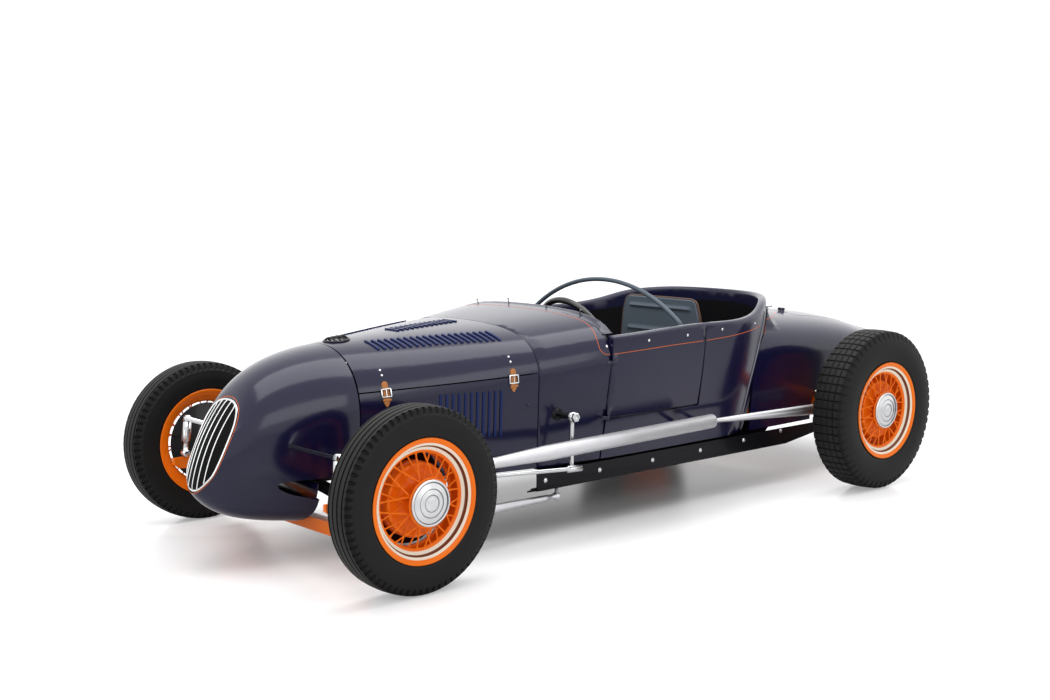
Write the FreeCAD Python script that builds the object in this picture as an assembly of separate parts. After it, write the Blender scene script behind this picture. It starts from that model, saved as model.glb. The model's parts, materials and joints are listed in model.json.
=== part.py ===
import FreeCAD, Part
import math
import os

V = FreeCAD.Vector
os.makedirs("parts", exist_ok=True)

# Driving dimensions in millimetres. +X is forward, +Y is the driver's left and +Z is up.
# The origin is on the floor in the middle of the overall length.
wheelbase = 2640.0
front_overhang = 460.0
rear_overhang = 850.0
front_track = 1500.0
rear_track = 1540.0

front_tyre_radius = 333.0
front_tyre_width = 135.0
rear_tyre_radius = 367.0
rear_tyre_width = 180.0
rim_flange_radius = 221.0
rim_seat_radius = 203.0
rim_well_radius = 183.0
rim_thickness = 6.0
tyre_flange_inset = 5.0
bead_clearance = 0.3
spoke_pairs = 8
spoke_radius = 3.4
drum_radius = 150.0
drum_depth = 32.0
disc_inset = 12.0
plate_inset = 36.0
plate_thickness = 4.0
plate_radius = 162.0
hub_radius = 62.0
hub_cap_radius = 82.0

hood_front_aft = 108.0
hood_rear_aft = 822.0
cowl_rear_aft = 1143.0
door_rear_aft = 1708.0
rim_round_aft = 1850.0
cockpit_rear_aft = 2500.0
body_bottom = 285.0
skin = 8.0
tub_wall = 40.0
rim_round = 15.0
panel_gap = 5.0
seam_gap = 2.0
seat_clearance = 0.3

rail_width = 45.0
rail_height = 92.0
rail_bottom = 255.0
pan_bottom = 192.0
pan_plate = 6.0
pan_front_aft = 812.0
pan_rear_aft = 2620.0
pan_half_width = 478.0

kingpin_inset = 95.0
kingpin_radius = 11.0
steering_arm_length = 130.0
steering_arm_height = 238.0
pitman_aft = 905.0
pitman_top = 497.0
pitman_bottom = 292.0
drag_link_y = 604.0
drag_arm_inset = 44.0
drag_link_front_height = 343.0
drag_link_radius = 8.0

pipe_y = 650.0
pipe_radius = 30.0
pipe_front_radius = 20.0
pipe_front_aft = 440.0
pipe_full_aft = 700.0
pipe_rear_aft = 1657.0
pipe_front_height = 384.0
pipe_rear_height = 404.0

door_bottom = 452.0
door_bevel = 22.0
door_sill_gap = 7.5

wheel_centre_aft = 1459.0
wheel_centre_height = 702.0
wheel_tilt = 21.5
wheel_rim_radius = 206.0
wheel_rim_tube = 14.0

seat_back_aft = 2025.0
seat_half_width = 262.0
cushion_front_aft = 1560.0
cushion_half_width = 250.0
cushion_thickness = 119.0
floor_height = 405.0
floor_plate = 6.0

hoop_aft = 1640.0
hoop_tube = 11.0
hoop_apex = 974.0
hoop_arc = 762.0

kingpin_half = front_track / 2 - kingpin_inset
drag_arm_half = drag_link_y - drag_arm_inset
half_length = (wheelbase + front_overhang + rear_overhang) / 2
front_axle_x = half_length - front_overhang
rear_axle_x = front_axle_x - wheelbase


def aft(distance):
    """X of a point that lies this far behind the front axle."""
    return front_axle_x - distance


def box(x_low, x_high, y_low, y_high, z_low, z_high):
    size = (x_high - x_low, y_high - y_low, z_high - z_low)
    return Part.makeBox(*size, V(x_low, y_low, z_low))


def rod(start, end, radius, end_radius=None):
    """Round bar between two points, tapered when a second radius is given."""
    axis = end - start
    if end_radius is None:
        return Part.makeCylinder(radius, axis.Length, start, axis)
    return Part.makeCone(radius, end_radius, axis.Length, start, axis)


def mirrored(shape):
    """The same shape on the other side of the car."""
    return shape.mirror(V(0, 0, 0), V(0, 1, 0))


def both_sides(shape):
    return Part.makeCompound([shape, mirrored(shape)])


def line(start, end):
    return Part.LineSegment(start, end).toShape()


def quarter(start, corner, end, fullness):
    """Quarter arch that leaves start and meets end along the sides of their corner."""
    curve = Part.BezierCurve()
    curve.setPoles([start, start + (corner - start) * fullness, end + (corner - end) * fullness, end])
    return curve.toShape()


def save(name, shape):
    shape = shape.removeSplitter()
    shape.exportStep("parts/" + name + ".step")


def spin_profile(points):
    """Solid of revolution about the Y axis from (y, radius) points."""
    wire = Part.makePolygon([V(0, y, r) for y, r in points] + [V(0, points[0][0], points[0][1])])
    return Part.Face(wire).revolve(V(0, 0, 0), V(0, 1, 0), 360.0)


# Wheels are modelled at the origin with the outer side at +Y.

def tyre_solid(radius, width):
    """Closed ring from bead to tread with a bulged side wall."""
    half = width / 2
    flange = half - tyre_flange_inset
    bead = rim_seat_radius + bead_clearance
    wall = radius - rim_flange_radius
    side = [
        (flange - 6.0, bead),
        (flange - 6.0, rim_flange_radius + 2.0),
        (half, rim_flange_radius + 0.42 * wall),
        (half - 9.0, radius - 0.20 * wall),
        (half - 30.0, radius),
    ]
    other = [(-y, r) for y, r in reversed(side)]
    return spin_profile(side + other)


def wire_wheel(width):
    """Rim, drum, hub and crossed spokes as one welded piece."""
    flange = width / 2 - tyre_flange_inset
    well = 20.0
    inner = rim_well_radius - rim_thickness
    seat_inner = rim_seat_radius - rim_thickness
    outer_line = [
        (-flange, rim_flange_radius),
        (-flange + 5.0, rim_flange_radius),
        (-flange + 5.6, rim_seat_radius),
        (-well - 12.0, rim_seat_radius),
        (-well, rim_well_radius),
    ]
    inner_line = [
        (well - 2.0, inner),
        (well + 10.0, seat_inner),
        (flange - 4.0, seat_inner),
        (flange, seat_inner + 7.0),
    ]
    profile = outer_line + [(-y, r) for y, r in reversed(outer_line)]
    profile += list(reversed(inner_line)) + [(-y, r) for y, r in inner_line]
    rim = spin_profile(profile)
    drum = spin_profile([(-drum_depth, 70.0), (-drum_depth, drum_radius), (-8.0, drum_radius),
                         (-2.0, drum_radius - 8.0), (-2.0, 0.0), (-disc_inset, 0.0),
                         (-disc_inset, 70.0)])
    hub = spin_profile([(-2.0, 0.0), (-2.0, hub_radius + 26.0), (4.0, hub_radius + 26.0),
                        (12.0, hub_radius), (34.0, hub_radius), (40.0, hub_radius + 14.0),
                        (48.0, hub_radius + 14.0), (48.0, 0.0)])
    spokes = []
    turn = 360.0 / spoke_pairs
    for i in range(spoke_pairs):
        for lean in (-1, 1):
            rows = ((hub_radius + 10.0, 44.0, 6.0, lean * 34.0, 0.0),
                    (hub_radius + 22.0, 1.0, -6.0, lean * 22.0, 0.5))
            for hub_r, hub_y, rim_y, swing, phase in rows:
                a = math.radians(turn * (i + phase) + lean * turn * 0.12)
                b = math.radians(turn * (i + phase) + swing)
                start = V(math.sin(b) * hub_r, hub_y, math.cos(b) * hub_r)
                end = V(math.sin(a) * (inner + 3.0), rim_y, math.cos(a) * (inner + 3.0))
                spokes.append(spoke(start, end))
    return rim.multiFuse([drum, hub] + spokes)


def spoke(start, end):
    """Six-sided spoke from hub flange to rim well."""
    axis = (end - start).normalize()
    side = axis.cross(V(0, 1, 0)).normalize()
    up = axis.cross(side)
    corners = []
    for k in range(7):
        t = math.radians(60.0 * k)
        corners.append(start + side * (spoke_radius * math.cos(t)) + up * (spoke_radius * math.sin(t)))
    return Part.Face(Part.makePolygon(corners)).extrude(end - start)


def hub_cap():
    """Dished cap with concentric steps, seated on the hub face."""
    base = 48.0 + seat_clearance
    r = hub_cap_radius
    return spin_profile([(base, 0.0), (base, r - 3.0), (base + 3.0, r), (base + 8.0, r - 4.0),
                         (base + 11.0, r - 22.0), (base + 10.0, r - 24.0), (base + 12.0, r - 40.0),
                         (base + 14.0, r - 44.0), (base + 14.0, 0.0)])


def place_wheel(shape, x, track, radius, side):
    placed = shape if side > 0 else mirrored(shape)
    moved = placed.copy()
    moved.translate(V(x, side * track / 2, radius))
    return moved


front_parts = {
    "tyre": tyre_solid(front_tyre_radius, front_tyre_width),
    "wire_wheel": wire_wheel(front_tyre_width),
    "hub_cap": hub_cap(),
}
rear_parts = {
    "tyre": tyre_solid(rear_tyre_radius, rear_tyre_width),
    "wire_wheel": wire_wheel(rear_tyre_width),
    "hub_cap": front_parts["hub_cap"],
}
for side, side_name in ((1, "left"), (-1, "right")):
    for part_name, shape in front_parts.items():
        placed = place_wheel(shape, front_axle_x, front_track, front_tyre_radius, side)
        save("front_" + part_name + "_" + side_name, placed)
    for part_name, shape in rear_parts.items():
        placed = place_wheel(shape, rear_axle_x, rear_track, rear_tyre_radius, side)
        save("rear_" + part_name + "_" + side_name, placed)


# Nose: a tunnel of leaning egg-shaped sections from the hood seam to the grille opening.
# Each station gives the top and bottom points (aft, height), half-width, the share of the
# height at which it is widest, and the fullness of the upper and lower quarters.
nose_stations = [
    ((108.0, 800.0), (108.0, 130.0), 268.0, 0.62, 0.61, 0.84),
    ((-92.0, 762.0), (-60.0, 136.0), 246.0, 0.60, 0.61, 0.78),
    ((-200.0, 714.0), (-215.0, 160.0), 204.0, 0.60, 0.61, 0.69),
    ((-262.0, 664.0), (-362.0, 212.0), 158.0, 0.64, 0.61, 0.61),
    ((-287.0, 626.0), (-452.0, 294.0), 116.0, 0.68, 0.60, 0.56),
]
grille_wall = 12.0


def leaning_frame(station):
    """Foot of a nose section, its upward direction and its height."""
    top, low = station[0], station[1]
    foot = V(aft(low[0]), 0, low[1])
    rise = V(aft(top[0]), 0, top[1]) - foot
    return foot, rise.normalize(), math.dist(top, low)


def nose_wire(station, shrink, step=V(0, 0, 0)):
    """Egg-shaped section of four quarters, drawn in by a wall thickness."""
    half, widest, upper, lower = station[2:]
    foot, up, height = leaning_frame(station)
    out = half - shrink
    low = foot + up * shrink + step
    middle = foot + up * (widest * height) + step
    head = foot + up * (height - shrink) + step
    edges = []
    for side in (1, -1):
        wide = V(0, side * out, 0)
        edges.append(quarter(low, low + wide, middle + wide, lower))
        edges.append(quarter(middle + wide, head + wide, head, upper))
    return Part.Wire(Part.sortEdges(edges)[0])


grille_up = leaning_frame(nose_stations[-1])[1]
grille_out = V(grille_up.z, 0, -grille_up.x)

nose_outer = Part.makeLoft([nose_wire(s, 0.0) for s in nose_stations], True, False)
inner_wires = [nose_wire(nose_stations[0], skin, V(-20, 0, 0))]
inner_wires += [nose_wire(s, skin) for s in nose_stations[1:-1]]
inner_wires.append(nose_wire(nose_stations[-1], grille_wall))
nose_inner = Part.makeLoft(inner_wires, True, False)
grille_hole = Part.Face(inner_wires[-1]).extrude(grille_out * 40.0)
nose = nose_outer.cut(nose_inner).cut(grille_hole)


def axle_opening():
    """Cutter for the teardrop slot above the chin and for the open space behind the chin."""
    upper = [(-140.0, 290.0), (-108.0, 290.0), (-60.0, 312.0), (-16.0, 330.0), (185.0, 328.0)]
    drop = [(185.0, 328.0), (208.0, 315.0), (188.0, 296.0), (139.0, 272.0), (90.0, 258.0), (52.0, 252.0)]
    chin = [(52.0, 252.0), (44.0, 246.0), (46.0, 200.0), (56.0, 150.0), (84.0, 100.0), (-140.0, 100.0),
            (-140.0, 290.0)]
    curve = Part.BSplineCurve()
    curve.interpolate([V(front_axle_x + x, -400, z) for x, z in drop])
    points = [V(front_axle_x + x, -400, z) for x, z in upper[:-1] + chin[1:-1]]
    points = points[:len(upper) - 1] + curve.toShape().discretize(10) + points[len(upper) - 1:]
    return Part.Face(Part.makePolygon(points + [points[0]])).extrude(V(0, 800, 0))


nose = nose.cut(axle_opening())

# The chin is a closed pod: a tray behind the slot's lower edge and an upright rear panel.
chin_plate = 6.0
chin_back = front_axle_x + 52.0
chin_tray_height = 240.0
chin_panel_top = 308.0
chin_room = Part.makeLoft([nose_wire(s, grille_wall / 2) for s in nose_stations], True, False)
chin_tray = box(chin_back, front_axle_x + 215.0, -400, 400, chin_tray_height, chin_tray_height + chin_plate)
chin_panel = box(chin_back, chin_back + chin_plate, -400, 400, 150.0, chin_panel_top)
nose = nose.multiFuse([chin_room.common(chin_tray), chin_room.common(chin_panel)])
save("nose_shell", nose)

# Grille: a slim oval frame in the opening with five upright bars.
bar_count = 5
bar_pitch = 34.0
bar_width = 5.0
bar_depth = 16.0
frame_rim = 7.0
frame_depth = 14.0


def grille_slab(shrink, depth, sink):
    """Slab of the grille's outline, drawn in by shrink and sunk below the opening's plane."""
    face = Part.Face(nose_wire(nose_stations[-1], grille_wall + shrink))
    slab = face.extrude(grille_out * depth)
    slab.translate(grille_out * (-sink))
    return slab


grille_frame = grille_slab(seat_clearance, frame_depth, frame_depth - 4.0)
grille_frame = grille_frame.cut(grille_slab(frame_rim, frame_depth + 40.0, frame_depth + 20.0))
bar_field = grille_slab(frame_rim / 2, frame_depth - 2.0, frame_depth - 4.0)
bars = []
for i in range(bar_count):
    y = (i - (bar_count - 1) / 2) * bar_pitch
    cutter = box(0, 4000, y - bar_width / 2, y + bar_width / 2, 0, 2000)
    bars.append(bar_field.common(cutter))
save("grille", grille_frame.multiFuse(bars))

# Radiator core close behind the grille.
radiator = grille_slab(frame_rim, 40.0, frame_depth + 50.0)
save("radiator", radiator)


# Hood, cowl and deck share one kind of section: a full arch over straight sides.
# station: aft, top height, half-width, shoulder height, fullness, half-width at the bottom, bottom.
def arch_wire(station, shrink, bottom_drop=0.0):
    a, top, half, shoulder, fullness, low_half, bottom = station
    x = aft(a)
    low = bottom + shrink - bottom_drop
    head = V(x, 0, top - shrink)
    edges = []
    for side in (1, -1):
        foot = V(x, side * (low_half - shrink), low)
        spring = V(x, side * (half - shrink), shoulder)
        edges.append(line(foot, spring))
        edges.append(quarter(spring, V(x, spring.y, head.z), head, fullness))
    edges.append(line(V(x, shrink - low_half, low), V(x, low_half - shrink, low)))
    return Part.Wire(Part.sortEdges(edges)[0])


def arch_solid(stations, shrink, bottom_drop=0.0):
    wires = [arch_wire(s, shrink, bottom_drop) for s in stations]
    return Part.makeLoft(wires, True, False)


def end_moved(stations, front, rear):
    """Stations with the first and last planes moved outwards."""
    first = (stations[0][0] - front,) + stations[0][1:]
    last = (stations[-1][0] + rear,) + stations[-1][1:]
    return [first] + stations[1:-1] + [last]


hood_stations = [
    (108.0 + panel_gap, 800.0, 268.0, 560.0, 0.61, 266.0, body_bottom),
    (340.0, 819.0, 350.0, 588.0, 0.66, 344.0, body_bottom),
    (580.0, 835.0, 424.0, 616.0, 0.71, 414.0, body_bottom),
    (822.0 - panel_gap, 847.0, 480.0, 640.0, 0.75, 465.0, body_bottom),
]
hood_inner = arch_solid(end_moved(hood_stations, 20.0, 20.0), skin, 60.0)
hood_shell = arch_solid(hood_stations, 0.0).cut(hood_inner)
split_front = 630.0
split_rear = 672.0
split_gap = 5.0


def above_split(lift, high):
    """Wedge above the hood's side seam, raised by a little."""
    front = aft(hood_front_aft) + 50.0
    rear = aft(hood_rear_aft) - 50.0
    wire = Part.makePolygon([V(front, -700, split_front + lift), V(rear, -700, split_rear + lift),
                             V(rear, -700, high), V(front, -700, high),
                             V(front, -700, split_front + lift)])
    return Part.Face(wire).extrude(V(0, 1400, 0))


hood_top = hood_shell.common(above_split(split_gap / 2, 1200.0))
hood_sides = hood_shell.cut(above_split(-split_gap / 2, 1200.0))
save("hood_top", hood_top)
save("hood_sides", hood_sides)

cowl_stations = [
    (822.0, 847.0, 480.0, 640.0, 0.75, 465.0, body_bottom),
    (980.0, 867.0, 521.0, 656.0, 0.77, 478.0, body_bottom),
    (cowl_rear_aft, 885.0, 555.0, 675.0, 0.78, 490.0, body_bottom),
]
cowl = arch_solid(cowl_stations, 0.0)
cowl = cowl.cut(arch_solid(end_moved(cowl_stations, 20.0, 20.0), skin + 4.0, 60.0))
firewall_thickness = 8.0
firewall_low = floor_height - 5.0
firewall_shape = cowl_stations[0][1:-1] + (firewall_low,)
firewall_stations = [(hood_rear_aft,) + firewall_shape, (hood_rear_aft + firewall_thickness,) + firewall_shape]
cowl = cowl.fuse(arch_solid(firewall_stations, 2.0))
cross_tube_radius = 24.0
cross_tube_end = V(aft(pitman_aft), 500.0, pitman_top)
cowl = cowl.cut(rod(V(aft(pitman_aft), 420, pitman_top), cross_tube_end + V(0, 60, 0),
                    cross_tube_radius + seat_clearance))

# Tub: stacked plan outlines of the sides and the half-round back.
tub_levels = [(body_bottom, 68.0), (470.0, 34.0), (660.0, 6.0), (920.0, 0.0)]
rim_half_width = 562.0
side_bulge = 14.0
ellipse_fullness = 0.5523


def tub_outline(z, lean, shrink, front_step=0.0):
    """Plan outline at one height: two bowed sides and a half-ellipse behind them."""
    half = rim_half_width - lean - shrink
    front_x = aft(cowl_rear_aft + panel_gap - front_step)
    round_x = aft(rim_round_aft)
    back = V(aft(cockpit_rear_aft) + lean + shrink, 0, z)
    third = (front_x - round_x) / 3
    edges = []
    for side in (1, -1):
        front = V(front_x, side * half, z)
        start = V(round_x, side * half, z)
        bow = Part.BezierCurve()
        bow.setPoles([front, V(front_x - third, side * (half + side_bulge), z),
                      V(front_x - 2 * third, side * half, z), start])
        edges.append(bow.toShape())
        edges.append(quarter(start, V(back.x, start.y, z), back, ellipse_fullness))
    edges.append(line(V(front_x, -half, z), V(front_x, half, z)))
    return Part.Wire(Part.sortEdges(edges)[0])


def rim_lean(z):
    """How far the tub's side leans in at a height between its two upper levels."""
    (low, low_lean), (high, high_lean) = tub_levels[-2:]
    return low_lean + (high_lean - low_lean) * (z - low) / (high - low)


def tub_solid(shrink, front_step, low_step):
    wires = []
    for i, (z, lean) in enumerate(tub_levels):
        step = low_step if i == 0 else 0.0
        wires.append(tub_outline(z - step, lean, shrink, front_step))
    return Part.makeLoft(wires, True, False)


rim_line = ((cowl_rear_aft - 30.0, 798.0), (1420.0, 807.0), (1708.0, 814.0), (1850.0, 812.0),
            (2020.0, 819.0), (2135.0, 840.0), (2235.0, 868.0), (2320.0, 881.0), (2414.0, 888.0),
            (2500.0, 886.0), (2560.0, 884.0))


def above_rim():
    """Everything above the cockpit rim's line."""
    curve = Part.BSplineCurve()
    curve.interpolate([V(aft(a), -900, z) for a, z in rim_line])
    first = V(aft(rim_line[0][0]), -900, rim_line[0][1])
    last = V(aft(rim_line[-1][0]), -900, rim_line[-1][1])
    high = 1200.0
    edges = [curve.toShape(), Part.LineSegment(last, V(last.x, -900, high)).toShape(),
             Part.LineSegment(V(last.x, -900, high), V(first.x, -900, high)).toShape(),
             Part.LineSegment(V(first.x, -900, high), first).toShape()]
    return Part.Face(Part.Wire(edges)).extrude(V(0, 1800, 0))


tub_outer = tub_solid(0.0, 0.0, 0.0)
tub_shell = tub_outer.cut(tub_solid(tub_wall, 60.0, 20.0)).cut(above_rim())
tub_shell = tub_shell.cut(box(aft(2700), aft(2000), -452, 452, 0, floor_height - 5.0))
rim_edges = [e for e in tub_shell.Edges if e.BoundBox.ZMin > 780.0 and e.Length > 200.0]
tub_shell = tub_shell.makeFillet(rim_round, rim_edges)
tub_keep_out = tub_solid(-seat_clearance, 0.0, 0.0)

# Doors are cut out of the tub wall, with the rear edge bevelled so that they swing free.
door_front_x = aft(cowl_rear_aft + panel_gap)
door_rear_x = aft(door_rear_aft)
door_region = box(door_rear_x, door_front_x + 10.0, 300, 700, door_bottom, 1000)
bevel_wire = Part.makePolygon([V(door_rear_x + panel_gap, 640, 0), V(door_rear_x + panel_gap, 565, 0),
                               V(door_rear_x + panel_gap + door_bevel, 420, 0),
                               V(door_front_x + 10.0, 420, 0), V(door_front_x + 10.0, 640, 0),
                               V(door_rear_x + panel_gap, 640, 0)])
door_block = Part.Face(bevel_wire).extrude(V(0, 0, 1000))
door_block = door_block.common(box(-2000, 3000, 300, 700, door_bottom + door_sill_gap, 1000))
door_left = tub_shell.common(door_block)

# Hinge barrels stand on the body's surface in the seam ahead of each door.
hinge_radius = 6.0
hinge_low = V(door_front_x + panel_gap / 2, 530.0, 470.0)
hinge_high = V(door_front_x + panel_gap / 2, 560.0, 700.0)
hinge_line = (hinge_high - hinge_low).normalize()
door_barrels = []
cowl_barrels = []
for centre in (hinge_low, hinge_high):
    middle = centre + V(0, hinge_radius + 1.0, 0)
    door_barrels.append(rod(middle, middle + hinge_line * 18.0, hinge_radius))
    door_barrels.append(box(door_front_x - 14.0, door_front_x, middle.y - 24.0, middle.y,
                            middle.z + 1.0, middle.z + 16.0))
    under = middle - hinge_line * seat_clearance
    cowl_barrels.append(rod(under, under - hinge_line * 18.0, hinge_radius))
    cowl_barrels.append(box(door_front_x + panel_gap, door_front_x + panel_gap + 14.0, middle.y - 24.0,
                            middle.y, middle.z - 17.0, middle.z - 2.0))
door_left = door_left.multiFuse(door_barrels)
save("door_left", door_left)
cowl = cowl.multiFuse(cowl_barrels + [mirrored(piece) for piece in cowl_barrels])
save("cowl", cowl)
save("door_right", mirrored(door_left))
tub_shell = tub_shell.cut(door_region).cut(mirrored(door_region))
save("body_tub", tub_shell)

# Turtle deck behind the cockpit, hollow, with its lid cut out of the top.
deck_stations = [
    (2120.0, 800.0, 498.0, 620.0, 0.75, 470.0, body_bottom),
    (2450.0, 800.0, 496.0, 610.0, 0.75, 470.0, body_bottom),
    (2750.0, 778.0, 486.0, 590.0, 0.73, 464.0, body_bottom),
    (3050.0, 732.0, 456.0, 560.0, 0.71, 436.0, 292.0),
    (3300.0, 672.0, 405.0, 520.0, 0.69, 388.0, 312.0),
    (3440.0, 622.0, 355.0, 490.0, 0.66, 340.0, 335.0),
    (3490.0, 572.0, 300.0, 470.0, 0.64, 285.0, 368.0),
]
deck_wall = 14.0
deck = arch_solid(deck_stations, 0.0)
deck_hollow = arch_solid(end_moved(deck_stations[:-1], 40.0, 0.0), deck_wall, 60.0)
deck = deck.cut(deck_hollow)


def rim_collar():
    """Concave sweep from the deck's skin up to the outside of the cockpit rim."""
    levels = ((700.0, 96.0), (740.0, 56.0), (780.0, 28.0), (830.0, 9.0), (900.0, 2.0 * seam_gap))
    wires = [tub_outline(z, rim_lean(z), -grow) for z, grow in levels]
    sweep = Part.makeLoft(wires, True, False)
    tall = [(a, 1010.0, half - 46.0, 690.0, 0.56, half - 46.0, bottom)
            for a, top, half, shoulder, fullness, low_half, bottom in deck_stations[:4]]
    sweep = sweep.common(arch_solid(tall, 0.0))
    return sweep.cut(deck_hollow).cut(above_rim())


deck = deck.fuse(rim_collar())
trunk_floor_height = 528.0
trunk_floor = arch_solid(deck_stations, deck_wall / 2).common(box(
    aft(3440), aft(2560), -500, 500, trunk_floor_height, trunk_floor_height + floor_plate))
deck = deck.fuse(trunk_floor)
deck = deck.cut(tub_solid(-seam_gap, 0.0, 40.0))
arch_radius = 72.0
axle_arch = Part.makeCylinder(arch_radius, 1400, V(rear_axle_x, -700, rear_tyre_radius), V(0, 1, 0))
axle_arch = axle_arch.fuse(box(rear_axle_x - arch_radius, rear_axle_x + arch_radius, -700, 700, 100,
                               rear_tyre_radius))
deck = deck.cut(axle_arch)
lid_front_aft = 2660.0
lid_rear_aft = 3330.0
lid_half = 300.0
lid_low = 560.0
lid_region = box(aft(lid_rear_aft), aft(lid_front_aft), -lid_half, lid_half, lid_low, 1000)
lid = deck.common(box(aft(lid_rear_aft) + panel_gap, aft(lid_front_aft) - panel_gap,
                      -lid_half + panel_gap, lid_half - panel_gap, lid_low, 1000))
lid_hinge = V(aft(lid_front_aft + panel_gap / 2), 0, 791.0)
lid_barrels = []
deck_barrels = []
for side in (1, -1):
    start = lid_hinge + V(0, side * 190.0, 0)
    lid_barrels.append(rod(start, start + V(0, side * 18.0, 0), hinge_radius))
    lid_barrels.append(box(lid_hinge.x - 18.0, lid_hinge.x, start.y - 9 + side * 9, start.y + 9 + side * 9,
                           lid_hinge.z - 14.0, lid_hinge.z - 3.0))
    start = lid_hinge + V(0, side * (208.0 + seat_clearance), 0)
    deck_barrels.append(rod(start, start + V(0, side * 18.0, 0), hinge_radius))
    deck_barrels.append(box(lid_hinge.x, lid_hinge.x + 18.0, start.y - 9 + side * 9, start.y + 9 + side * 9,
                            lid_hinge.z - 14.0, lid_hinge.z - 3.0))
save("deck_lid", lid.multiFuse(lid_barrels))
deck = deck.cut(lid_region).multiFuse(deck_barrels)
save("turtle_deck", deck)

# Frame: two rails swept out behind the engine and kicked up over the rear axle.
rail_kick_aft = wheelbase - 360.0
rail_path = ((-45.0, 205.0, 60.0), (140.0, 212.0, 60.0), (700.0, 345.0, 60.0), (900.0, 395.0, 0.0),
             (1300.0, 410.0, 0.0), (rail_kick_aft, 410.0, 0.0), (rail_kick_aft + 240.0, 400.0, 175.0),
             (rail_kick_aft + 620.0, 380.0, 175.0))


def rail_section(a, y, lift):
    low = rail_bottom + lift
    x = aft(a)
    return Part.makePolygon([V(x, y - rail_width / 2, low), V(x, y + rail_width / 2, low),
                             V(x, y + rail_width / 2, low + rail_height),
                             V(x, y - rail_width / 2, low + rail_height),
                             V(x, y - rail_width / 2, low)])


# Transverse leaf springs: height of the bottom leaf at the middle and at its ends.
leaf_thickness = 7.0
leaf_width = 44.0
leaf_count = 4
front_spring_crown = 279.0
front_spring_ends = 218.0
front_spring_span = 430.0
rear_spring_crown = 436.0
rear_spring_ends = 380.0
rear_spring_span = 450.0
rear_spring_set_back = 150.0
rear_spring_top = rear_spring_crown + leaf_count * leaf_thickness


def crossmember(a, half, low, high, length):
    return box(aft(a) - length / 2, aft(a) + length / 2, -half, half, low, high)


rail = Part.makeLoft([rail_section(*p) for p in rail_path], True, True)
frame_height = rail_bottom + rail_height
members = [
    crossmember(0.0, 215.0, rail_bottom + 60.0, frame_height + 20.0, 80.0),
    crossmember(1000.0, 390.0, rail_bottom + 2.0, rail_bottom + 40.0, 60.0),
    crossmember(rail_kick_aft - 40.0, 410.0, rail_bottom + 5.0, rail_bottom + 45.0, 60.0),
    crossmember(rail_kick_aft + 580.0, 380.0, rail_bottom + 185.0, rail_bottom + 255.0, 60.0),
    crossmember(wheelbase + rear_spring_set_back, 395.0, rear_spring_top + seat_clearance,
                rail_bottom + 267.0, 50.0),
]
frame = rail.multiFuse([mirrored(rail)] + members)
save("frame_rails", frame)

# Belly pan: a shallow tray with an upstand along each side, a finger above the rails' foot.
pan_top = body_bottom - 16.0
pan = box(aft(pan_rear_aft), aft(pan_front_aft), -pan_half_width, pan_half_width, pan_bottom, pan_top)
pan = pan.cut(box(aft(pan_rear_aft) - 10, aft(pan_front_aft) + 10, pan_plate - pan_half_width,
                  pan_half_width - pan_plate, pan_bottom + pan_plate, pan_top + 10))
pan = pan.cut(box(aft(1250), aft(pan_front_aft) + 10, 40 - pan_half_width, pan_half_width - 40, 0,
                  pan_bottom + 20))
lip = Part.makePolygon([V(aft(pan_front_aft + 60), pan_half_width, pan_bottom),
                        V(aft(pan_front_aft) + 42, pan_half_width - 14, pan_bottom),
                        V(aft(pan_front_aft + 60), pan_half_width - 40, pan_bottom),
                        V(aft(pan_front_aft + 60), pan_half_width, pan_bottom)])
lip = Part.Face(lip).extrude(V(0, 0, pan_plate))
pan = pan.multiFuse([lip, mirrored(lip)])
pan_rear_cut = Part.makePolygon([V(aft(2300), -600, pan_bottom - 10), V(aft(2630), -600, 226),
                                 V(aft(2630), -600, pan_bottom - 10), V(aft(2300), -600, pan_bottom - 10)])
pan = pan.cut(Part.Face(pan_rear_cut).extrude(V(0, 1200, 0)))
save("belly_pan", pan)

floor_half = 452.0
floor_front = box(aft(1500), aft(836), -floor_half, floor_half, floor_height, floor_height + floor_plate)
floor_rear = tub_solid(tub_wall + seat_clearance, 0.0, 0.0).common(box(
    aft(2300), aft(1490), -floor_half, floor_half, floor_height, floor_height + floor_plate))
save("cockpit_floor", floor_front.fuse(floor_rear))

# Engine as one plain block, with the gearbox and torque tube behind it.
engine_front_aft = 260.0
engine_rear_aft = 790.0
engine = box(aft(engine_rear_aft), aft(engine_front_aft), -150, 150, 212, 640)
engine = engine.fuse(box(aft(engine_rear_aft), aft(engine_front_aft), -210, 210, 430, 620))
save("engine_block", engine)
gearbox = rod(V(aft(790.3), 0, 350), V(aft(1120), 0, 350), 50.0)
tube = rod(V(aft(1100), 0, 350), V(aft(2529.5), 0, 362), 30.0)
save("gearbox_and_torque_tube", gearbox.fuse(tube))

# Front axle: dropped beam that ends in an upright eye at each kingpin.
axle_low = 110.0
axle_depth = 50.0
beam_half = 24.0
beam_line = ((0.0, 0.0), (400.0, 0.0), (500.0, 18.0), (585.0, 100.0), (625.0, 170.0))


def beam_section(y, lift):
    low = axle_low + lift
    x = front_axle_x
    return Part.makePolygon([V(x - beam_half, y, low), V(x + beam_half, y, low),
                             V(x + beam_half, y, low + axle_depth),
                             V(x - beam_half, y, low + axle_depth), V(x - beam_half, y, low)])


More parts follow.
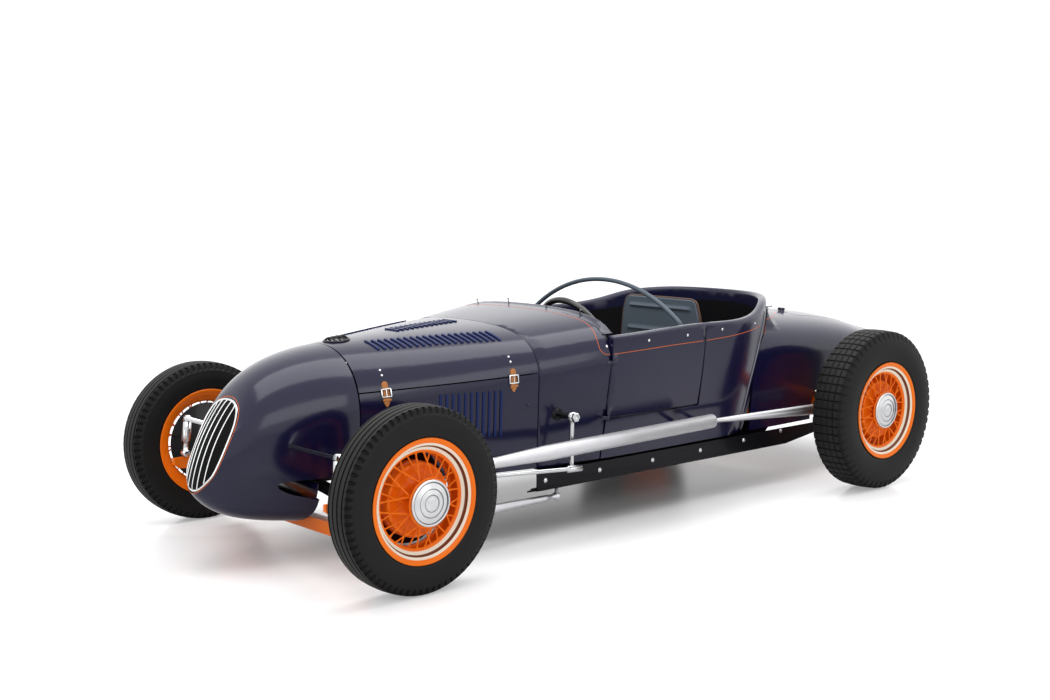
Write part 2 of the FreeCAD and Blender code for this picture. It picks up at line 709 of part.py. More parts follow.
half_beam = Part.makeLoft([beam_section(*p) for p in beam_line], True, True)
boss_low = front_tyre_radius - 36.0
boss_high = front_tyre_radius + 36.0
boss = Part.makeCylinder(22.0, boss_high - boss_low, V(front_axle_x, kingpin_half, boss_low))
perch = box(front_axle_x - 20, front_axle_x + 20, front_spring_span - 14, front_spring_span + 10,
            axle_low + 20, front_spring_ends - seat_clearance)
neck = box(front_axle_x - 20, front_axle_x + 20, 605, kingpin_half, boss_low, boss_high - 20)
shock_arm_inner = 538.0
shock_arm_outer = 556.0
shock_arm_outline = ((0.0, 188.0), (55.0, 200.0), (105.0, 240.0), (150.0, 262.0), (215.0, 270.0),
                     (238.0, 288.0), (238.0, 312.0), (160.0, 314.0), (137.0, 322.0), (123.0, 350.0),
                     (118.0, 384.0), (90.0, 386.0), (78.0, 330.0), (52.0, 262.0), (0.0, 226.0))


def shock_arm():
    """Hooked plate that reaches forward from the beam and carries the shock absorber."""
    points = [V(front_axle_x + x, shock_arm_inner, z) for x, z in shock_arm_outline]
    plate = Part.Face(Part.makePolygon(points + [points[0]]))
    return plate.extrude(V(0, shock_arm_outer - shock_arm_inner, 0))


half_axle = half_beam.multiFuse([boss, neck, perch, shock_arm()])
pin_hole = Part.makeCylinder(kingpin_radius + 0.05, 400, V(front_axle_x, kingpin_half, boss_low - 100))
half_axle = half_axle.cut(pin_hole)
save("front_axle", half_axle.fuse(mirrored(half_axle)))

# Each spring is a stack of bowed leaves.
def leaf_spring(x, span, crown, ends):
    """Bowed leaves, longest at the bottom, each shorter one above it."""
    solids = []
    radius = (span ** 2 + (crown - ends) ** 2) / (2.0 * (crown - ends))
    centre = crown - radius
    for i in range(leaf_count):
        reach = span * (1.0 - 0.13 * i)
        angle = math.degrees(math.asin(reach / radius))
        low = radius + leaf_thickness * i
        high = low + leaf_thickness
        ring = Part.makeCylinder(high, leaf_width, V(0, 0, 0), V(1, 0, 0))
        ring = ring.cut(Part.makeCylinder(low, leaf_width, V(0, 0, 0), V(1, 0, 0)))
        wedge = Part.makePolygon([V(-1, 0, 0), V(-1, reach * 3, 3 * math.sqrt(radius ** 2 - reach ** 2)),
                                  V(-1, -reach * 3, 3 * math.sqrt(radius ** 2 - reach ** 2)), V(-1, 0, 0)])
        leaf = ring.common(Part.Face(wedge).extrude(V(leaf_width + 2, 0, 0)))
        leaf.translate(V(x - leaf_width / 2, 0, centre))
        solids.append(leaf)
    return solids[0].multiFuse(solids[1:])


front_spring = leaf_spring(front_axle_x, front_spring_span, front_spring_crown, front_spring_ends)
rear_spring = leaf_spring(rear_axle_x - rear_spring_set_back, rear_spring_span, rear_spring_crown,
                          rear_spring_ends)
save("leaf_springs", Part.makeCompound([front_spring, rear_spring]))

# Rear axle: centre casting, tapered tubes and backing plates.
rear_z = rear_tyre_radius
plate_y = rear_track / 2 - plate_inset
centre = Part.makeSphere(128.0, V(rear_axle_x, 0, rear_z))
centre = centre.common(box(rear_axle_x - 110, rear_axle_x + 110, -90, 90, rear_z - 120, 520))
axle_tube = rod(V(rear_axle_x, 60, rear_z), V(rear_axle_x, plate_y, rear_z), 52.0, 36.0)
plate = rod(V(rear_axle_x, plate_y - plate_thickness, rear_z), V(rear_axle_x, plate_y, rear_z), plate_radius)
shaft_end = rod(V(rear_axle_x, plate_y - 20, rear_z),
                V(rear_axle_x, rear_track / 2 - disc_inset - seat_clearance, rear_z), 24.0)
spring_arm = box(rear_axle_x - rear_spring_set_back - leaf_width / 2, rear_axle_x, rear_spring_span - 30,
                 rear_spring_span, rear_z - 18, rear_spring_ends - seat_clearance)
half_parts = [axle_tube, plate, shaft_end, spring_arm]
rear_axle = centre.multiFuse(half_parts + [mirrored(piece) for piece in half_parts])
save("rear_axle", rear_axle)

# Split radius rods: tapered tubes with a rod end at the frame.
rod_knee = V(aft(430), 473, 155)
rod_tip = V(aft(893), 452, 151)
rod_ball = V(aft(pitman_aft + 36), 450, 151)
rod_front = rod(V(front_axle_x - beam_half - 1.3, 494, 155), rod_knee, 20.0, 21.0)
rod_back = rod(rod_knee, rod_tip, 21.0, 13.0)
knee_ring = Part.makeSphere(21.6, rod_knee)
front_eye = rod(rod_tip, rod_ball, 10.0)
front_ball = Part.makeSphere(18.0, rod_ball)
front_bolt = rod(rod_ball, V(rod_ball.x, rod_ball.y, pan_bottom - seat_clearance), 7.0)
front_rod = rod_front.multiFuse([rod_back, knee_ring, front_eye, front_ball, front_bolt])
rear_start = V(aft(1700), 600, 392)
rear_end = V(aft(2640 - 60), 640, rear_tyre_radius)


def blade(start, end, first, last, thin):
    """Flattened tapered tube."""
    axis = (end - start).normalize()
    side = axis.cross(V(0, 0, 1)).normalize()
    up = side.cross(axis)
    wires = []
    for centre, tall in ((start, first), (end, last)):
        points = []
        for i in range(8):
            t = math.pi * i / 4
            points.append(centre + side * (thin * math.cos(t)) + up * (tall * math.sin(t)))
        wires.append(Part.makePolygon(points + [points[0]]))
    return Part.makeLoft(wires, True, True)


rear_blade = blade(rear_start, rear_end, 9.0, 29.0, 10.0)
rear_ball = Part.makeSphere(15.0, rear_start + V(12, 0, 0))
rear_bolt = rod(rear_start + V(12, 0, 0), V(rear_start.x + 12, 505, rear_start.z), 8.0)
rear_rod = rear_blade.multiFuse([rear_ball, rear_bolt]).cut(tub_keep_out)
save("radius_rods", Part.makeCompound([front_rod, mirrored(front_rod), rear_rod, mirrored(rear_rod)]))

# Tube shock absorbers ahead of the axle, each on a curved arm of the axle.
shock_seat = 314.0 + seat_clearance
shock_half = (shock_arm_inner + shock_arm_outer) / 2
shock_low = V(front_axle_x + 184, shock_half, shock_seat + 14)
shock_high = V(front_axle_x + 174, shock_half - 8, 468)
shock_axis = shock_high - shock_low
shock = rod(shock_low, shock_low + shock_axis * 0.5, 11.0)
shock = shock.fuse(rod(shock_low + shock_axis * 0.35, shock_low + shock_axis * 0.92, 18.0))
shock_eye = rod(shock_high - V(0, 12, 0), shock_high + V(0, 12, 0), 15.0)
shock_bar = rod(shock_high, V(shock_high.x - 10, 100, shock_high.z - 6), 9.0)
shock_foot = rod(shock_low - V(0, 14, 0), shock_low + V(0, 14, 0), 14.0)
shock = shock.multiFuse([shock_eye, shock_bar, shock_foot])
nose_keep_out = Part.makeLoft([nose_wire(s, -seat_clearance) for s in nose_stations], True, False)
shock = shock.cut(nose_keep_out)
save("front_shocks", both_sides(shock))

# Side pipes: a swept header from the hood side, then a long tapered tube.
pipe_start = V(aft(pipe_front_aft), pipe_y, pipe_front_height)
pipe_end = V(aft(pipe_rear_aft), pipe_y, pipe_rear_height)
taper_share = (pipe_full_aft - pipe_front_aft) / (pipe_rear_aft - pipe_front_aft)
pipe_mid = pipe_start + (pipe_end - pipe_start) * taper_share
pipe = rod(pipe_start, pipe_mid, pipe_front_radius, pipe_radius).fuse(rod(pipe_mid, pipe_end, pipe_radius))
pipe_knee = Part.makeSphere(pipe_front_radius + 1.0, pipe_start)
pipe_feed = rod(pipe_start, V(aft(380), 380, 380), pipe_front_radius)
pipe = pipe.multiFuse([pipe_knee, pipe_feed])
hanger = rod(V(aft(1560), pipe_y - 10, 395), V(aft(1560), 500, 395), 9.0)
pipe = pipe.fuse(hanger.cut(tub_keep_out))
save("side_pipes", both_sides(pipe))

# Knuckles: forked upright on the kingpin, spindle, backing plate and steering arm.
wheel_y = front_track / 2


def knuckle(side):
    x = front_axle_x
    z = front_tyre_radius
    kingpin = Part.makeCylinder(kingpin_radius, 108, V(x, kingpin_half, z - 54))
    top = Part.makeCylinder(22.0, 16, V(x, kingpin_half, boss_high + seat_clearance))
    low = Part.makeCylinder(22.0, 16, V(x, kingpin_half, boss_low - 16 - seat_clearance))
    web = box(x - 20, x + 20, kingpin_half + 27, kingpin_half + 41, boss_low - 16, boss_high + 16)
    top_link = box(x - 18, x + 18, kingpin_half, kingpin_half + 30, boss_high + seat_clearance,
                   boss_high + 16)
    low_link = box(x - 18, x + 18, kingpin_half, kingpin_half + 30, boss_low - 16,
                   boss_low - seat_clearance)
    disc = rod(V(x, wheel_y - plate_inset - plate_thickness, z), V(x, wheel_y - plate_inset, z), plate_radius)
    axle_stub = rod(V(x, kingpin_half + 30, z), V(x, wheel_y - disc_inset - seat_clearance, z), 22.0)
    link_y = kingpin_half
    arm = rod(V(x, link_y + 32, boss_low - 8), V(x - steering_arm_length, link_y, steering_arm_height + 14),
              9.0)
    eye = Part.makeCylinder(13.0, 16, V(x - steering_arm_length, link_y, steering_arm_height + 6))
    solids = [top, low, web, top_link, low_link, disc, axle_stub, arm, eye]
    if side > 0:
        over = boss_high + seat_clearance
        reach = box(x - 14, x + 14, drag_arm_half - 4, kingpin_half, over, over + 16)
        drop = box(x - 12, x + 12, drag_arm_half - 4, drag_arm_half + 8, drag_link_front_height - 12,
                   over + 16)
        stud = rod(V(x, drag_arm_half, drag_link_front_height),
                   V(x, drag_arm_half - 8, drag_link_front_height), 6.0)
        solids += [reach, drop, stud]
    shape = kingpin.multiFuse(solids)
    return shape


save("knuckle_left", knuckle(1))
save("knuckle_right", mirrored(knuckle(-1)))

tie_z = steering_arm_height - 8.0
tie_half = kingpin_half
tie = rod(V(aft(steering_arm_length), -tie_half, tie_z), V(aft(steering_arm_length), tie_half, tie_z), 10.0)
tie_ends = [Part.makeCylinder(13.0, 14, V(aft(steering_arm_length), s * tie_half, tie_z - 8.3))
            for s in (1, -1)]
save("tie_rod", tie.multiFuse(tie_ends))

# Pitman arm with its cross shaft, outside the cowl on the left.
arm_y = drag_link_y - 25.5
shaft = rod(cross_tube_end + V(0, seat_clearance, 0), V(aft(pitman_aft), arm_y + 12, pitman_top), 14.0)
nut = rod(V(aft(pitman_aft), arm_y - 4, pitman_top), V(aft(pitman_aft), arm_y + 16, pitman_top), 20.0)
drop = rod(V(aft(pitman_aft), arm_y, pitman_top), V(aft(pitman_aft), arm_y, pitman_bottom), 10.0, 8.0)
drop_eye = rod(V(aft(pitman_aft), arm_y - 6, pitman_bottom), V(aft(pitman_aft), arm_y + 8, pitman_bottom),
               13.0)
save("pitman_arm", shaft.multiFuse([nut, drop, drop_eye]))

link_rear = V(aft(pitman_aft + 26), drag_link_y, pitman_bottom)
eye_face = drag_arm_half - 8 - seat_clearance
link_front = V(aft(0), eye_face - 9, drag_link_front_height)
link_run = link_front - link_rear
sleeve = rod(link_rear, link_rear + link_run * 0.075, 14.0)
long_rod = rod(link_rear, link_front, drag_link_radius)
front_end = rod(V(link_front.x, eye_face, link_front.z), V(link_front.x, eye_face - 18, link_front.z), 15.0)
save("drag_link", sleeve.multiFuse([long_rod, front_end]))

# Steering column and box, fixed under the cowl, and the wheel on the column's end.
tilt = math.radians(wheel_tilt)
column_axis = V(math.cos(tilt), 0, -math.sin(tilt))
wheel_centre = V(aft(wheel_centre_aft), 0, wheel_centre_height)
column_top = wheel_centre + column_axis * 30.0
column_low = wheel_centre + column_axis * 560.0
column = rod(column_top, column_low, 19.0)
gear_case = box(aft(pitman_aft) - 55, aft(pitman_aft) + 55, -60, 60, pitman_top - 60, pitman_top + 60)
cross_tube = rod(V(aft(pitman_aft), 0, pitman_top), cross_tube_end, cross_tube_radius)
save("steering_column", column.multiFuse([gear_case, cross_tube]))

steering_ring = Part.makeTorus(wheel_rim_radius, wheel_rim_tube, V(0, 0, 0), V(0, 0, 1))
spokes = [Part.makeBox(wheel_rim_radius, 26, 5, V(0, -13, -2.5)) for k in range(4)]
for k, bar in enumerate(spokes):
    bar.rotate(V(0, 0, 0), V(0, 0, 1), 45.0 + 90.0 * k)
boss = Part.makeCylinder(34, 34, V(0, 0, -22))
stem = Part.makeCylinder(12, 20, V(0, 0, -29.5))
steering_wheel = steering_ring.multiFuse(spokes + [boss, stem])
turn = FreeCAD.Rotation(V(0, 0, 1), column_axis * -1)
steering_wheel.Placement = FreeCAD.Placement(wheel_centre, turn)
save("steering_wheel", steering_wheel)

# Dash across the cowl's rear lip.
dash_low = 730.0
dash = arch_solid(end_moved(cowl_stations, 20.0, 20.0), skin + 4.0 + seat_clearance, 60.0)
dash = dash.common(box(aft(1116), aft(1112), -700, 700, dash_low, 1000))
dash = dash.cut(rod(column_top, column_low, 24.0))
save("dash_panel", dash)

# Seat: pressed back with two ribs, and a cushion.
back_low = floor_height + floor_plate + 60.0
back_outline = [(seat_half_width, back_low), (248.0, 780.0), (226.0, 852.0), (190.0, 872.0)]
points = [V(0, y, z) for y, z in back_outline] + [V(0, -y, z) for y, z in reversed(back_outline)]
seat_back = Part.Face(Part.makePolygon(points + [points[0]])).extrude(V(26, 0, 0))
seat_back.translate(V(aft(seat_back_aft) - 13, 0, 0))
for z in (770.0, 590.0):
    rib = rod(V(aft(seat_back_aft) + 13, -205, z), V(aft(seat_back_aft) + 13, 205, z), 9.0)
    seat_back = seat_back.fuse(rib)
legs = [box(aft(seat_back_aft) - 13, aft(seat_back_aft) + 13, s * 200 - 15, s * 200 + 15,
            floor_height + floor_plate, back_low + 10) for s in (1, -1)]
save("seat_back", seat_back.multiFuse(legs))
cushion_low = floor_height + floor_plate
cushion = box(aft(seat_back_aft) + 26, aft(cushion_front_aft), -cushion_half_width, cushion_half_width,
              cushion_low, cushion_low + cushion_thickness)
save("seat_cushion", cushion.makeFillet(24.0, cushion.Edges))

# Roll hoop: one tube bent over the cockpit in a wide arc, with splayed-in legs on the floor.
hoop_bend = 50.0
hoop_end_angle = math.radians(37.3)
hoop_leg_angle = math.radians(6.4)


def hoop_path():
    """Foot, knee bend, wide arc, knee bend and foot, each tangent to the next."""
    sweep_middle = hoop_apex - hoop_arc
    end = V(0, hoop_arc * math.sin(hoop_end_angle), sweep_middle + hoop_arc * math.cos(hoop_end_angle))
    centre = end - V(0, math.sin(hoop_end_angle), math.cos(hoop_end_angle)) * hoop_bend
    knee = centre + V(0, math.cos(hoop_leg_angle), -math.sin(hoop_leg_angle)) * hoop_bend
    half_turn = (math.pi / 2 - hoop_end_angle - hoop_leg_angle) / 2 + hoop_leg_angle
    middle = centre + V(0, math.cos(half_turn - hoop_leg_angle), math.sin(half_turn)) * hoop_bend
    drop = knee.z - floor_height
    foot = knee - V(0, drop * math.tan(hoop_leg_angle), drop)
    far_foot, far_knee, far_middle, far_end = [V(0, -p.y, p.z) for p in (foot, knee, middle, end)]
    return [line(far_foot, far_knee), Part.Arc(far_knee, far_middle, far_end).toShape(),
            Part.Arc(far_end, V(0, 0, hoop_apex), end).toShape(),
            Part.Arc(end, middle, knee).toShape(), line(knee, foot)]


hoop_edges = hoop_path()
hoop_start = hoop_edges[0].valueAt(hoop_edges[0].FirstParameter)
hoop_circle = Part.Wire(Part.Circle(hoop_start, V(0, 0, 1), hoop_tube).toShape())
hoop = Part.Wire(hoop_edges).makePipeShell([hoop_circle], True, True)
hoop.translate(V(aft(hoop_aft), 0, 0))
hoop = hoop.cut(box(-1000, 1000, -700, 700, 0, floor_height + floor_plate + seat_clearance))
save("roll_hoop", hoop)

# Hood louvers and the round vent: ribs that follow the hood's skin just above it.
louver_pitch = 24.5
louver_half = 4.5
louver_height = 5.0
rib_skin = arch_solid(hood_stations, -louver_height - seat_clearance).cut(
    arch_solid(hood_stations, -seat_clearance, 60.0))


def top_row(first_aft, count, first_y, last_y, half_span):
    """A row of cross ribs whose middle runs from first_y to last_y."""
    ribs = []
    for i in range(count):
        y = first_y + (last_y - first_y) * i / (count - 1)
        x = aft(first_aft + louver_pitch * i)
        ribs.append(rib_skin.common(box(x - louver_half, x + louver_half, y - half_span, y + half_span,
                                        500, 1000)))
    return ribs


outer_row = top_row(256.0, 20, 143.0, 314.0, 46.0)
middle_row = top_row(456.0, 13, 0.0, 0.0, 44.0)
save("hood_louvers", Part.makeCompound(outer_row + [mirrored(rib) for rib in outer_row] + middle_row))
side_ribs = []
for i in range(11):
    x = aft(408.0 + louver_pitch * i)
    rib = rib_skin.common(box(x - louver_half, x + louver_half, 100, 700, 432, 612))
    side_ribs += [rib, mirrored(rib)]
save("side_louvers", Part.makeCompound(side_ribs))
vent_radius = 52.0
vent_aft = 188.0
vent_skin = arch_solid(hood_stations, -11.0).cut(arch_solid(hood_stations, -seat_clearance, 60.0))
save("hood_vent", vent_skin.common(Part.makeCylinder(vent_radius, 400, V(aft(vent_aft), 0, 600))))

# Leather straps over the hood, with their buckles.
strap_half_width = 11.0
strap_thickness = 3.0
straps = []
strap_skin = arch_solid(hood_stations, -strap_thickness - seat_clearance).cut(
    arch_solid(hood_stations, -seat_clearance, 60.0))
for a in (209.0, 707.0):
    split = split_front + (split_rear - split_front) * (a - hood_front_aft) / (hood_rear_aft - hood_front_aft)
    band = box(aft(a) - strap_half_width, aft(a) + strap_half_width, 0, 700, split - 52.0, split + 60.0)
    piece = strap_skin.common(band)
    straps += [piece, mirrored(piece)]
save("hood_straps", Part.makeCompound(straps))
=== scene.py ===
import bpy
import bmesh
import json
import math
import numpy as np
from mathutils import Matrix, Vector
from mathutils.bvhtree import BVHTree

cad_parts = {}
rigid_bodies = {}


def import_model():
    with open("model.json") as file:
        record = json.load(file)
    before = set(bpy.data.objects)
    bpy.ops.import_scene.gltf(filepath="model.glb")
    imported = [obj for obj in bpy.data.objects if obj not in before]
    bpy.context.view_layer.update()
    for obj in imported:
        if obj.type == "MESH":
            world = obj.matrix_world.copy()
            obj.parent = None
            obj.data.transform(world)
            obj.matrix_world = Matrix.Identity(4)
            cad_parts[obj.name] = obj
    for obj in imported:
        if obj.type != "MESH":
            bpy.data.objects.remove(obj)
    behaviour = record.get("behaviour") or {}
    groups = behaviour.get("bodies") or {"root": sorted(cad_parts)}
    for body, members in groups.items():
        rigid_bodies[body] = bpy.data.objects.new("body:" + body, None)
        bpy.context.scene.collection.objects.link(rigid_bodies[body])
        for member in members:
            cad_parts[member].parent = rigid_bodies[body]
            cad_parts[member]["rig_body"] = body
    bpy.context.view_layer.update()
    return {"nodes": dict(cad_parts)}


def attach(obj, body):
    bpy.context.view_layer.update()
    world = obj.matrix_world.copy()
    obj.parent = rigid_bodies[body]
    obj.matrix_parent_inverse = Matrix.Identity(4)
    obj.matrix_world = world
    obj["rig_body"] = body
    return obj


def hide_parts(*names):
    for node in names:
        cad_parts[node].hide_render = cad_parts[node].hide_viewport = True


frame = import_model()
nodes = frame["nodes"]
axleX = 1.515  # front axle from the middle of the car
rearAxleX = -1.125


def aft(distance):
    # x of a place that lies so many metres behind the front axle
    return axleX - distance


# Shader maths: sockets that understand + - * / and a few named steps.
class Sock:
    def __init__(self, tree, out):
        self.tree = tree
        self.out = out

    def math(self, operation, other=None, clamp=False):
        node = self.tree.nodes.new("ShaderNodeMath")
        node.operation = operation
        node.use_clamp = clamp
        for i, value in enumerate((self, other)):
            if isinstance(value, Sock):
                self.tree.links.new(value.out, node.inputs[i])
            elif value is not None:
                node.inputs[i].default_value = value
        return Sock(self.tree, node.outputs[0])

    def __add__(self, other):
        return self.math("ADD", other)

    __radd__ = __add__

    def __mul__(self, other):
        return self.math("MULTIPLY", other)

    __rmul__ = __mul__

    def __sub__(self, other):
        return self.math("SUBTRACT", other)

    def __rsub__(self, other):
        return (self * -1.0) + other

    def __truediv__(self, other):
        return self.math("DIVIDE", other)

    def __rtruediv__(self, other):
        return self.math("POWER", -1.0) * other

    def clamped(self):
        return self.math("ADD", 0.0, clamp=True)

    def above(self, edge, soft):
        # 1 where the value is over the edge, with a soft step
        return ((self - (edge - soft / 2)) / soft).clamped()

    def band(self, low, high, soft):
        return self.above(low, soft) * (1 - self.above(high, soft))

    def root(self):
        return self.math("SQRT")

    def sine(self):
        return self.math("SINE")


class Shader:
    # One material; node() adds any node: settings first, then values or links of its sockets.
    def __init__(self, name):
        self.mat = bpy.data.materials.new(name)
        self.mat.use_nodes = True
        self.tree = self.mat.node_tree
        self.bsdf = self.tree.nodes["Principled BSDF"]
        self.coord = self.node("ShaderNodeTexCoord").outputs["Object"]

    def node(self, kind, settings=None, **inputs):
        made = self.tree.nodes.new(kind)
        for key, value in (settings or {}).items():
            setattr(made, key, value)
        for key, value in inputs.items():
            self.feed(made.inputs[key.replace("_", " ")], value)
        return made

    def feed(self, socket, value):
        if isinstance(value, Sock):
            value = value.out
        if isinstance(value, bpy.types.NodeSocket):
            self.tree.links.new(value, socket)
        elif isinstance(value, (tuple, list)) and len(value) == 3 and socket.type == "RGBA":
            socket.default_value = (*value, 1.0)
        else:
            socket.default_value = value

    def xyz(self):
        parts = self.node("ShaderNodeSeparateXYZ", Vector=self.coord)
        return [Sock(self.tree, parts.outputs[i]) for i in range(3)]

    def aboutAxle(self, centre):
        # distance from a wheel's axle, then x and z from it, and y
        x, y, z = self.xyz()
        x, z = x - centre[0], z - centre[1]
        return (x * x + z * z).root(), x, z, y

    def noise(self, scale, detail=3.0, rough=0.5, vector=None):
        made = self.node("ShaderNodeTexNoise", Vector=vector or self.coord, Scale=scale, Detail=detail,
                         Roughness=rough)
        return Sock(self.tree, made.outputs["Fac"])

    def mix(self, factor, first, second):
        made = self.node("ShaderNodeMix", {"data_type": "RGBA"})
        for index, value in ((0, factor), (6, first), (7, second)):
            self.feed(made.inputs[index], value)
        return made.outputs[2]

    def bump(self, height, strength, distance=0.001):
        made = self.node("ShaderNodeBump", Height=height, Strength=strength, Distance=distance)
        self.feed(self.bsdf.inputs["Normal"], made.outputs["Normal"])

    def set(self, **values):
        for key, value in values.items():
            self.feed(self.bsdf.inputs[key.replace("_", " ")], value)


# Mesh helpers.
def addObject(name, data):
    obj = bpy.data.objects.new(name, data)
    bpy.context.scene.collection.objects.link(obj)
    return obj


def unit(vectors):
    return vectors / np.linalg.norm(vectors, axis=1)[:, None]


def fullTurn(steps):
    return np.linspace(0, 2 * np.pi, steps, endpoint=False)


def smoothByAngle(mesh, degrees):
    mesh.polygons.foreach_set("use_smooth", np.ones(len(mesh.polygons), bool))
    mesh.set_sharp_from_angle(angle=math.radians(degrees))


def finishPiece(obj, material, body, angle=32.0):
    obj.data.materials.clear()
    obj.data.materials.append(material)
    smoothByAngle(obj.data, angle)
    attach(obj, body)
    return obj


def meshPiece(name, parts, material, body, angle=32.0):
    # one object from a list of (points, faces) parts
    points, faces, count = [], [], 0
    for partPoints, partFaces in parts:
        points.append(np.asarray(partPoints, float).reshape(-1, 3))
        faces += [[count + int(i) for i in face] for face in partFaces]
        count += len(points[-1])
    mesh = bpy.data.meshes.new(name)
    mesh.from_pydata(np.vstack(points).tolist(), [], faces)
    work = bmesh.new()
    work.from_mesh(mesh)
    bmesh.ops.recalc_face_normals(work, faces=work.faces)
    work.to_mesh(mesh)
    work.free()
    return finishPiece(addObject(name, mesh), material, body, angle)


def gridFaces(rows, columns, closeRows=False, closeColumns=False):
    # quads between neighbours of a rows x columns grid of points
    r = np.arange(rows if closeRows else rows - 1)
    c = np.arange(columns if closeColumns else columns - 1)
    r, c = np.meshgrid(r, c, indexing="ij")
    r2 = (r + 1) % rows
    c2 = (c + 1) % columns
    quads = np.stack([r * columns + c, r * columns + c2, r2 * columns + c2, r2 * columns + c], -1)
    return quads.reshape(-1, 4)


def loft(loops):
    # closed loops stacked as rows x columns x 3, with one face over each end
    rows, columns = loops.shape[:2]
    last = (rows - 1) * columns
    ends = [range(columns), range(last, last + columns)]
    return loops.reshape(-1, 3), list(gridFaces(rows, columns, closeColumns=True)) + ends


# Curve through points: cubic between each pair, with the slope given by the neighbours.
def curveThrough(points, per=8):
    p = np.asarray(points, float)
    wide = np.vstack([2 * p[0] - p[1], p, 2 * p[-1] - p[-2]])
    t = np.linspace(0, 1, per, endpoint=False)[:, None, None]
    a, b, c, d = wide[:-3], wide[1:-2], wide[2:-1], wide[3:]
    rows = 0.5 * (2 * b + (c - a) * t + (2 * a - 5 * b + 4 * c - d) * t**2 + (3 * b - a - 3 * c + d) * t**3)
    return np.vstack([rows.transpose(1, 0, 2).reshape(-1, p.shape[1]), p[-1:]])


# Turned piece: point = centre + (r sin t, side * y, r cos t), for a profile of (y, r) and t round the axis.
def turned(profile, centre, side=1, steps=96, closed=False):
    y, r = np.asarray(profile, float).T
    t = fullTurn(steps)
    x = centre[0] + r[:, None] * np.sin(t)
    z = centre[2] + r[:, None] * np.cos(t)
    across = centre[1] + side * y[:, None] + 0 * t
    return np.stack([x, across, z], -1).reshape(-1, 3), gridFaces(len(r), steps, closed, True)


# Tube: point = path(s) + radius (cos a * side(s) + flat sin a * rise(s)), both square to the path.
def tube(path, radius, sides=10, flat=1.0, up=(0, 0, 1), closed=False):
    path = np.asarray(path, float)
    along = unit(np.roll(path, -1, 0) - np.roll(path, 1, 0) if closed else np.gradient(path, axis=0))
    side = unit(np.cross(along, up))
    rise = np.cross(side, along)
    a = fullTurn(sides)[None, :, None]
    ring = np.cos(a) * side[:, None] + flat * np.sin(a) * rise[:, None]
    points = path[:, None] + np.broadcast_to(radius, len(path))[:, None, None] * ring
    return (points.reshape(-1, 3), gridFaces(len(path), sides, True, True)) if closed else loft(points)


# Copies of a small turned profile (height, radius), standing at each place along its direction.
def standing(profile, places, directions, sides=12):
    h, r = np.asarray(profile, float).T
    places = np.asarray(places, float)
    out = unit(np.asarray(directions, float))
    hint = np.where(np.abs(out[:, 2:]) > 0.9, [[1.0, 0, 0]], [[0, 0, 1.0]])
    side = unit(np.cross(out, hint))
    rise = np.cross(side, out)
    a = fullTurn(sides)[None, :, None]
    ring = np.cos(a) * side[:, None] + np.sin(a) * rise[:, None]
    points = (places[:, None, None] + h[None, :, None, None] * out[:, None, None]
              + r[None, :, None, None] * ring[:, None])
    return [(block.reshape(-1, 3), gridFaces(len(h), sides, closeColumns=True)) for block in points]


# Strip lying on a surface: the path widened square to the surface normal, with a low rounded top.
def strip(path, normals, width, lift):
    path = np.asarray(path, float)
    side = unit(np.cross(normals, np.gradient(path, axis=0)))
    wide = np.broadcast_to(width, len(path))[:, None, None]
    across = np.array([-0.5, -0.42, 0.42, 0.5])[None, :, None] * wide
    height = np.array([-0.3, 1.0, 1.0, -0.3])[None, :, None] * lift
    points = path[:, None] + side[:, None] * across + normals[:, None] * height
    return points.reshape(-1, 3), gridFaces(len(path), 4, closeColumns=True)


trees = {}


def landing(names, points):
    # nearest places on some CAD nodes, and which way those surfaces face
    key = tuple(names)
    if key not in trees:
        verts, faces = [], []
        for name in names:
            mesh = nodes[name].data
            start = len(verts)
            verts += [v.co.copy() for v in mesh.vertices]
            faces += [[start + i for i in p.vertices] for p in mesh.polygons]
        trees[key] = BVHTree.FromPolygons(verts, faces)
    found = [trees[key].find_nearest(Vector(p)) for p in points]
    return np.array([f[0] for f in found]), np.array([f[1] for f in found])


def placed(points):
    # measured places are given from the front axle in mm
    return np.asarray(points, float) / 1000 + [axleX, 0, 0]


def bothSides(points):
    # the same places again on the car's right side
    points = np.asarray(points, float)
    return np.vstack([points, points * [1, -1, 1]])


def mergedCopy(name, material, inner, lining):
    # the CAD node's own shape with its corners joined, so that it shades smoothly; inner picks lined faces
    source = nodes[name]
    work = bmesh.new()
    work.from_mesh(source.data)
    bmesh.ops.remove_doubles(work, verts=work.verts, dist=1e-6)
    mesh = bpy.data.meshes.new(name + "_skin")
    work.to_mesh(mesh)
    work.free()
    obj = finishPiece(addObject(name + "_skin", mesh), material, source["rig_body"])
    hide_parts(name)
    if inner:
        mesh.materials.append(lining)
        normal, centre = np.empty((2, len(mesh.polygons) * 3))
        mesh.polygons.foreach_get("normal", normal)
        mesh.polygons.foreach_get("center", centre)
        hidden = inner(centre.reshape(-1, 3), normal.reshape(-1, 3))
        mesh.polygons.foreach_set("material_index", hidden.astype(np.int32))


# Camera, light and floor.
view = {
    "place": (4.4536, 4.6657, 1.4522),
    "yaw": 0.8491,
    "pitch": 0.12227,
    "lens": 49.33,
    "sensor": 36.0,
}
camData = bpy.data.cameras.new("camera")
camData.lens = view["lens"]
camData.sensor_width = view["sensor"]
camData.clip_end = 100.0
camera = addObject("camera", camData)
camera.location = view["place"]
lookAlong = Vector((-math.cos(view["yaw"]) * math.cos(view["pitch"]),
                    -math.sin(view["yaw"]) * math.cos(view["pitch"]),
                    -math.sin(view["pitch"])))
camera.rotation_euler = lookAlong.to_track_quat("-Z", "Y").to_euler()
bpy.context.scene.camera = camera
bpy.context.scene.view_settings.view_transform = "Standard"

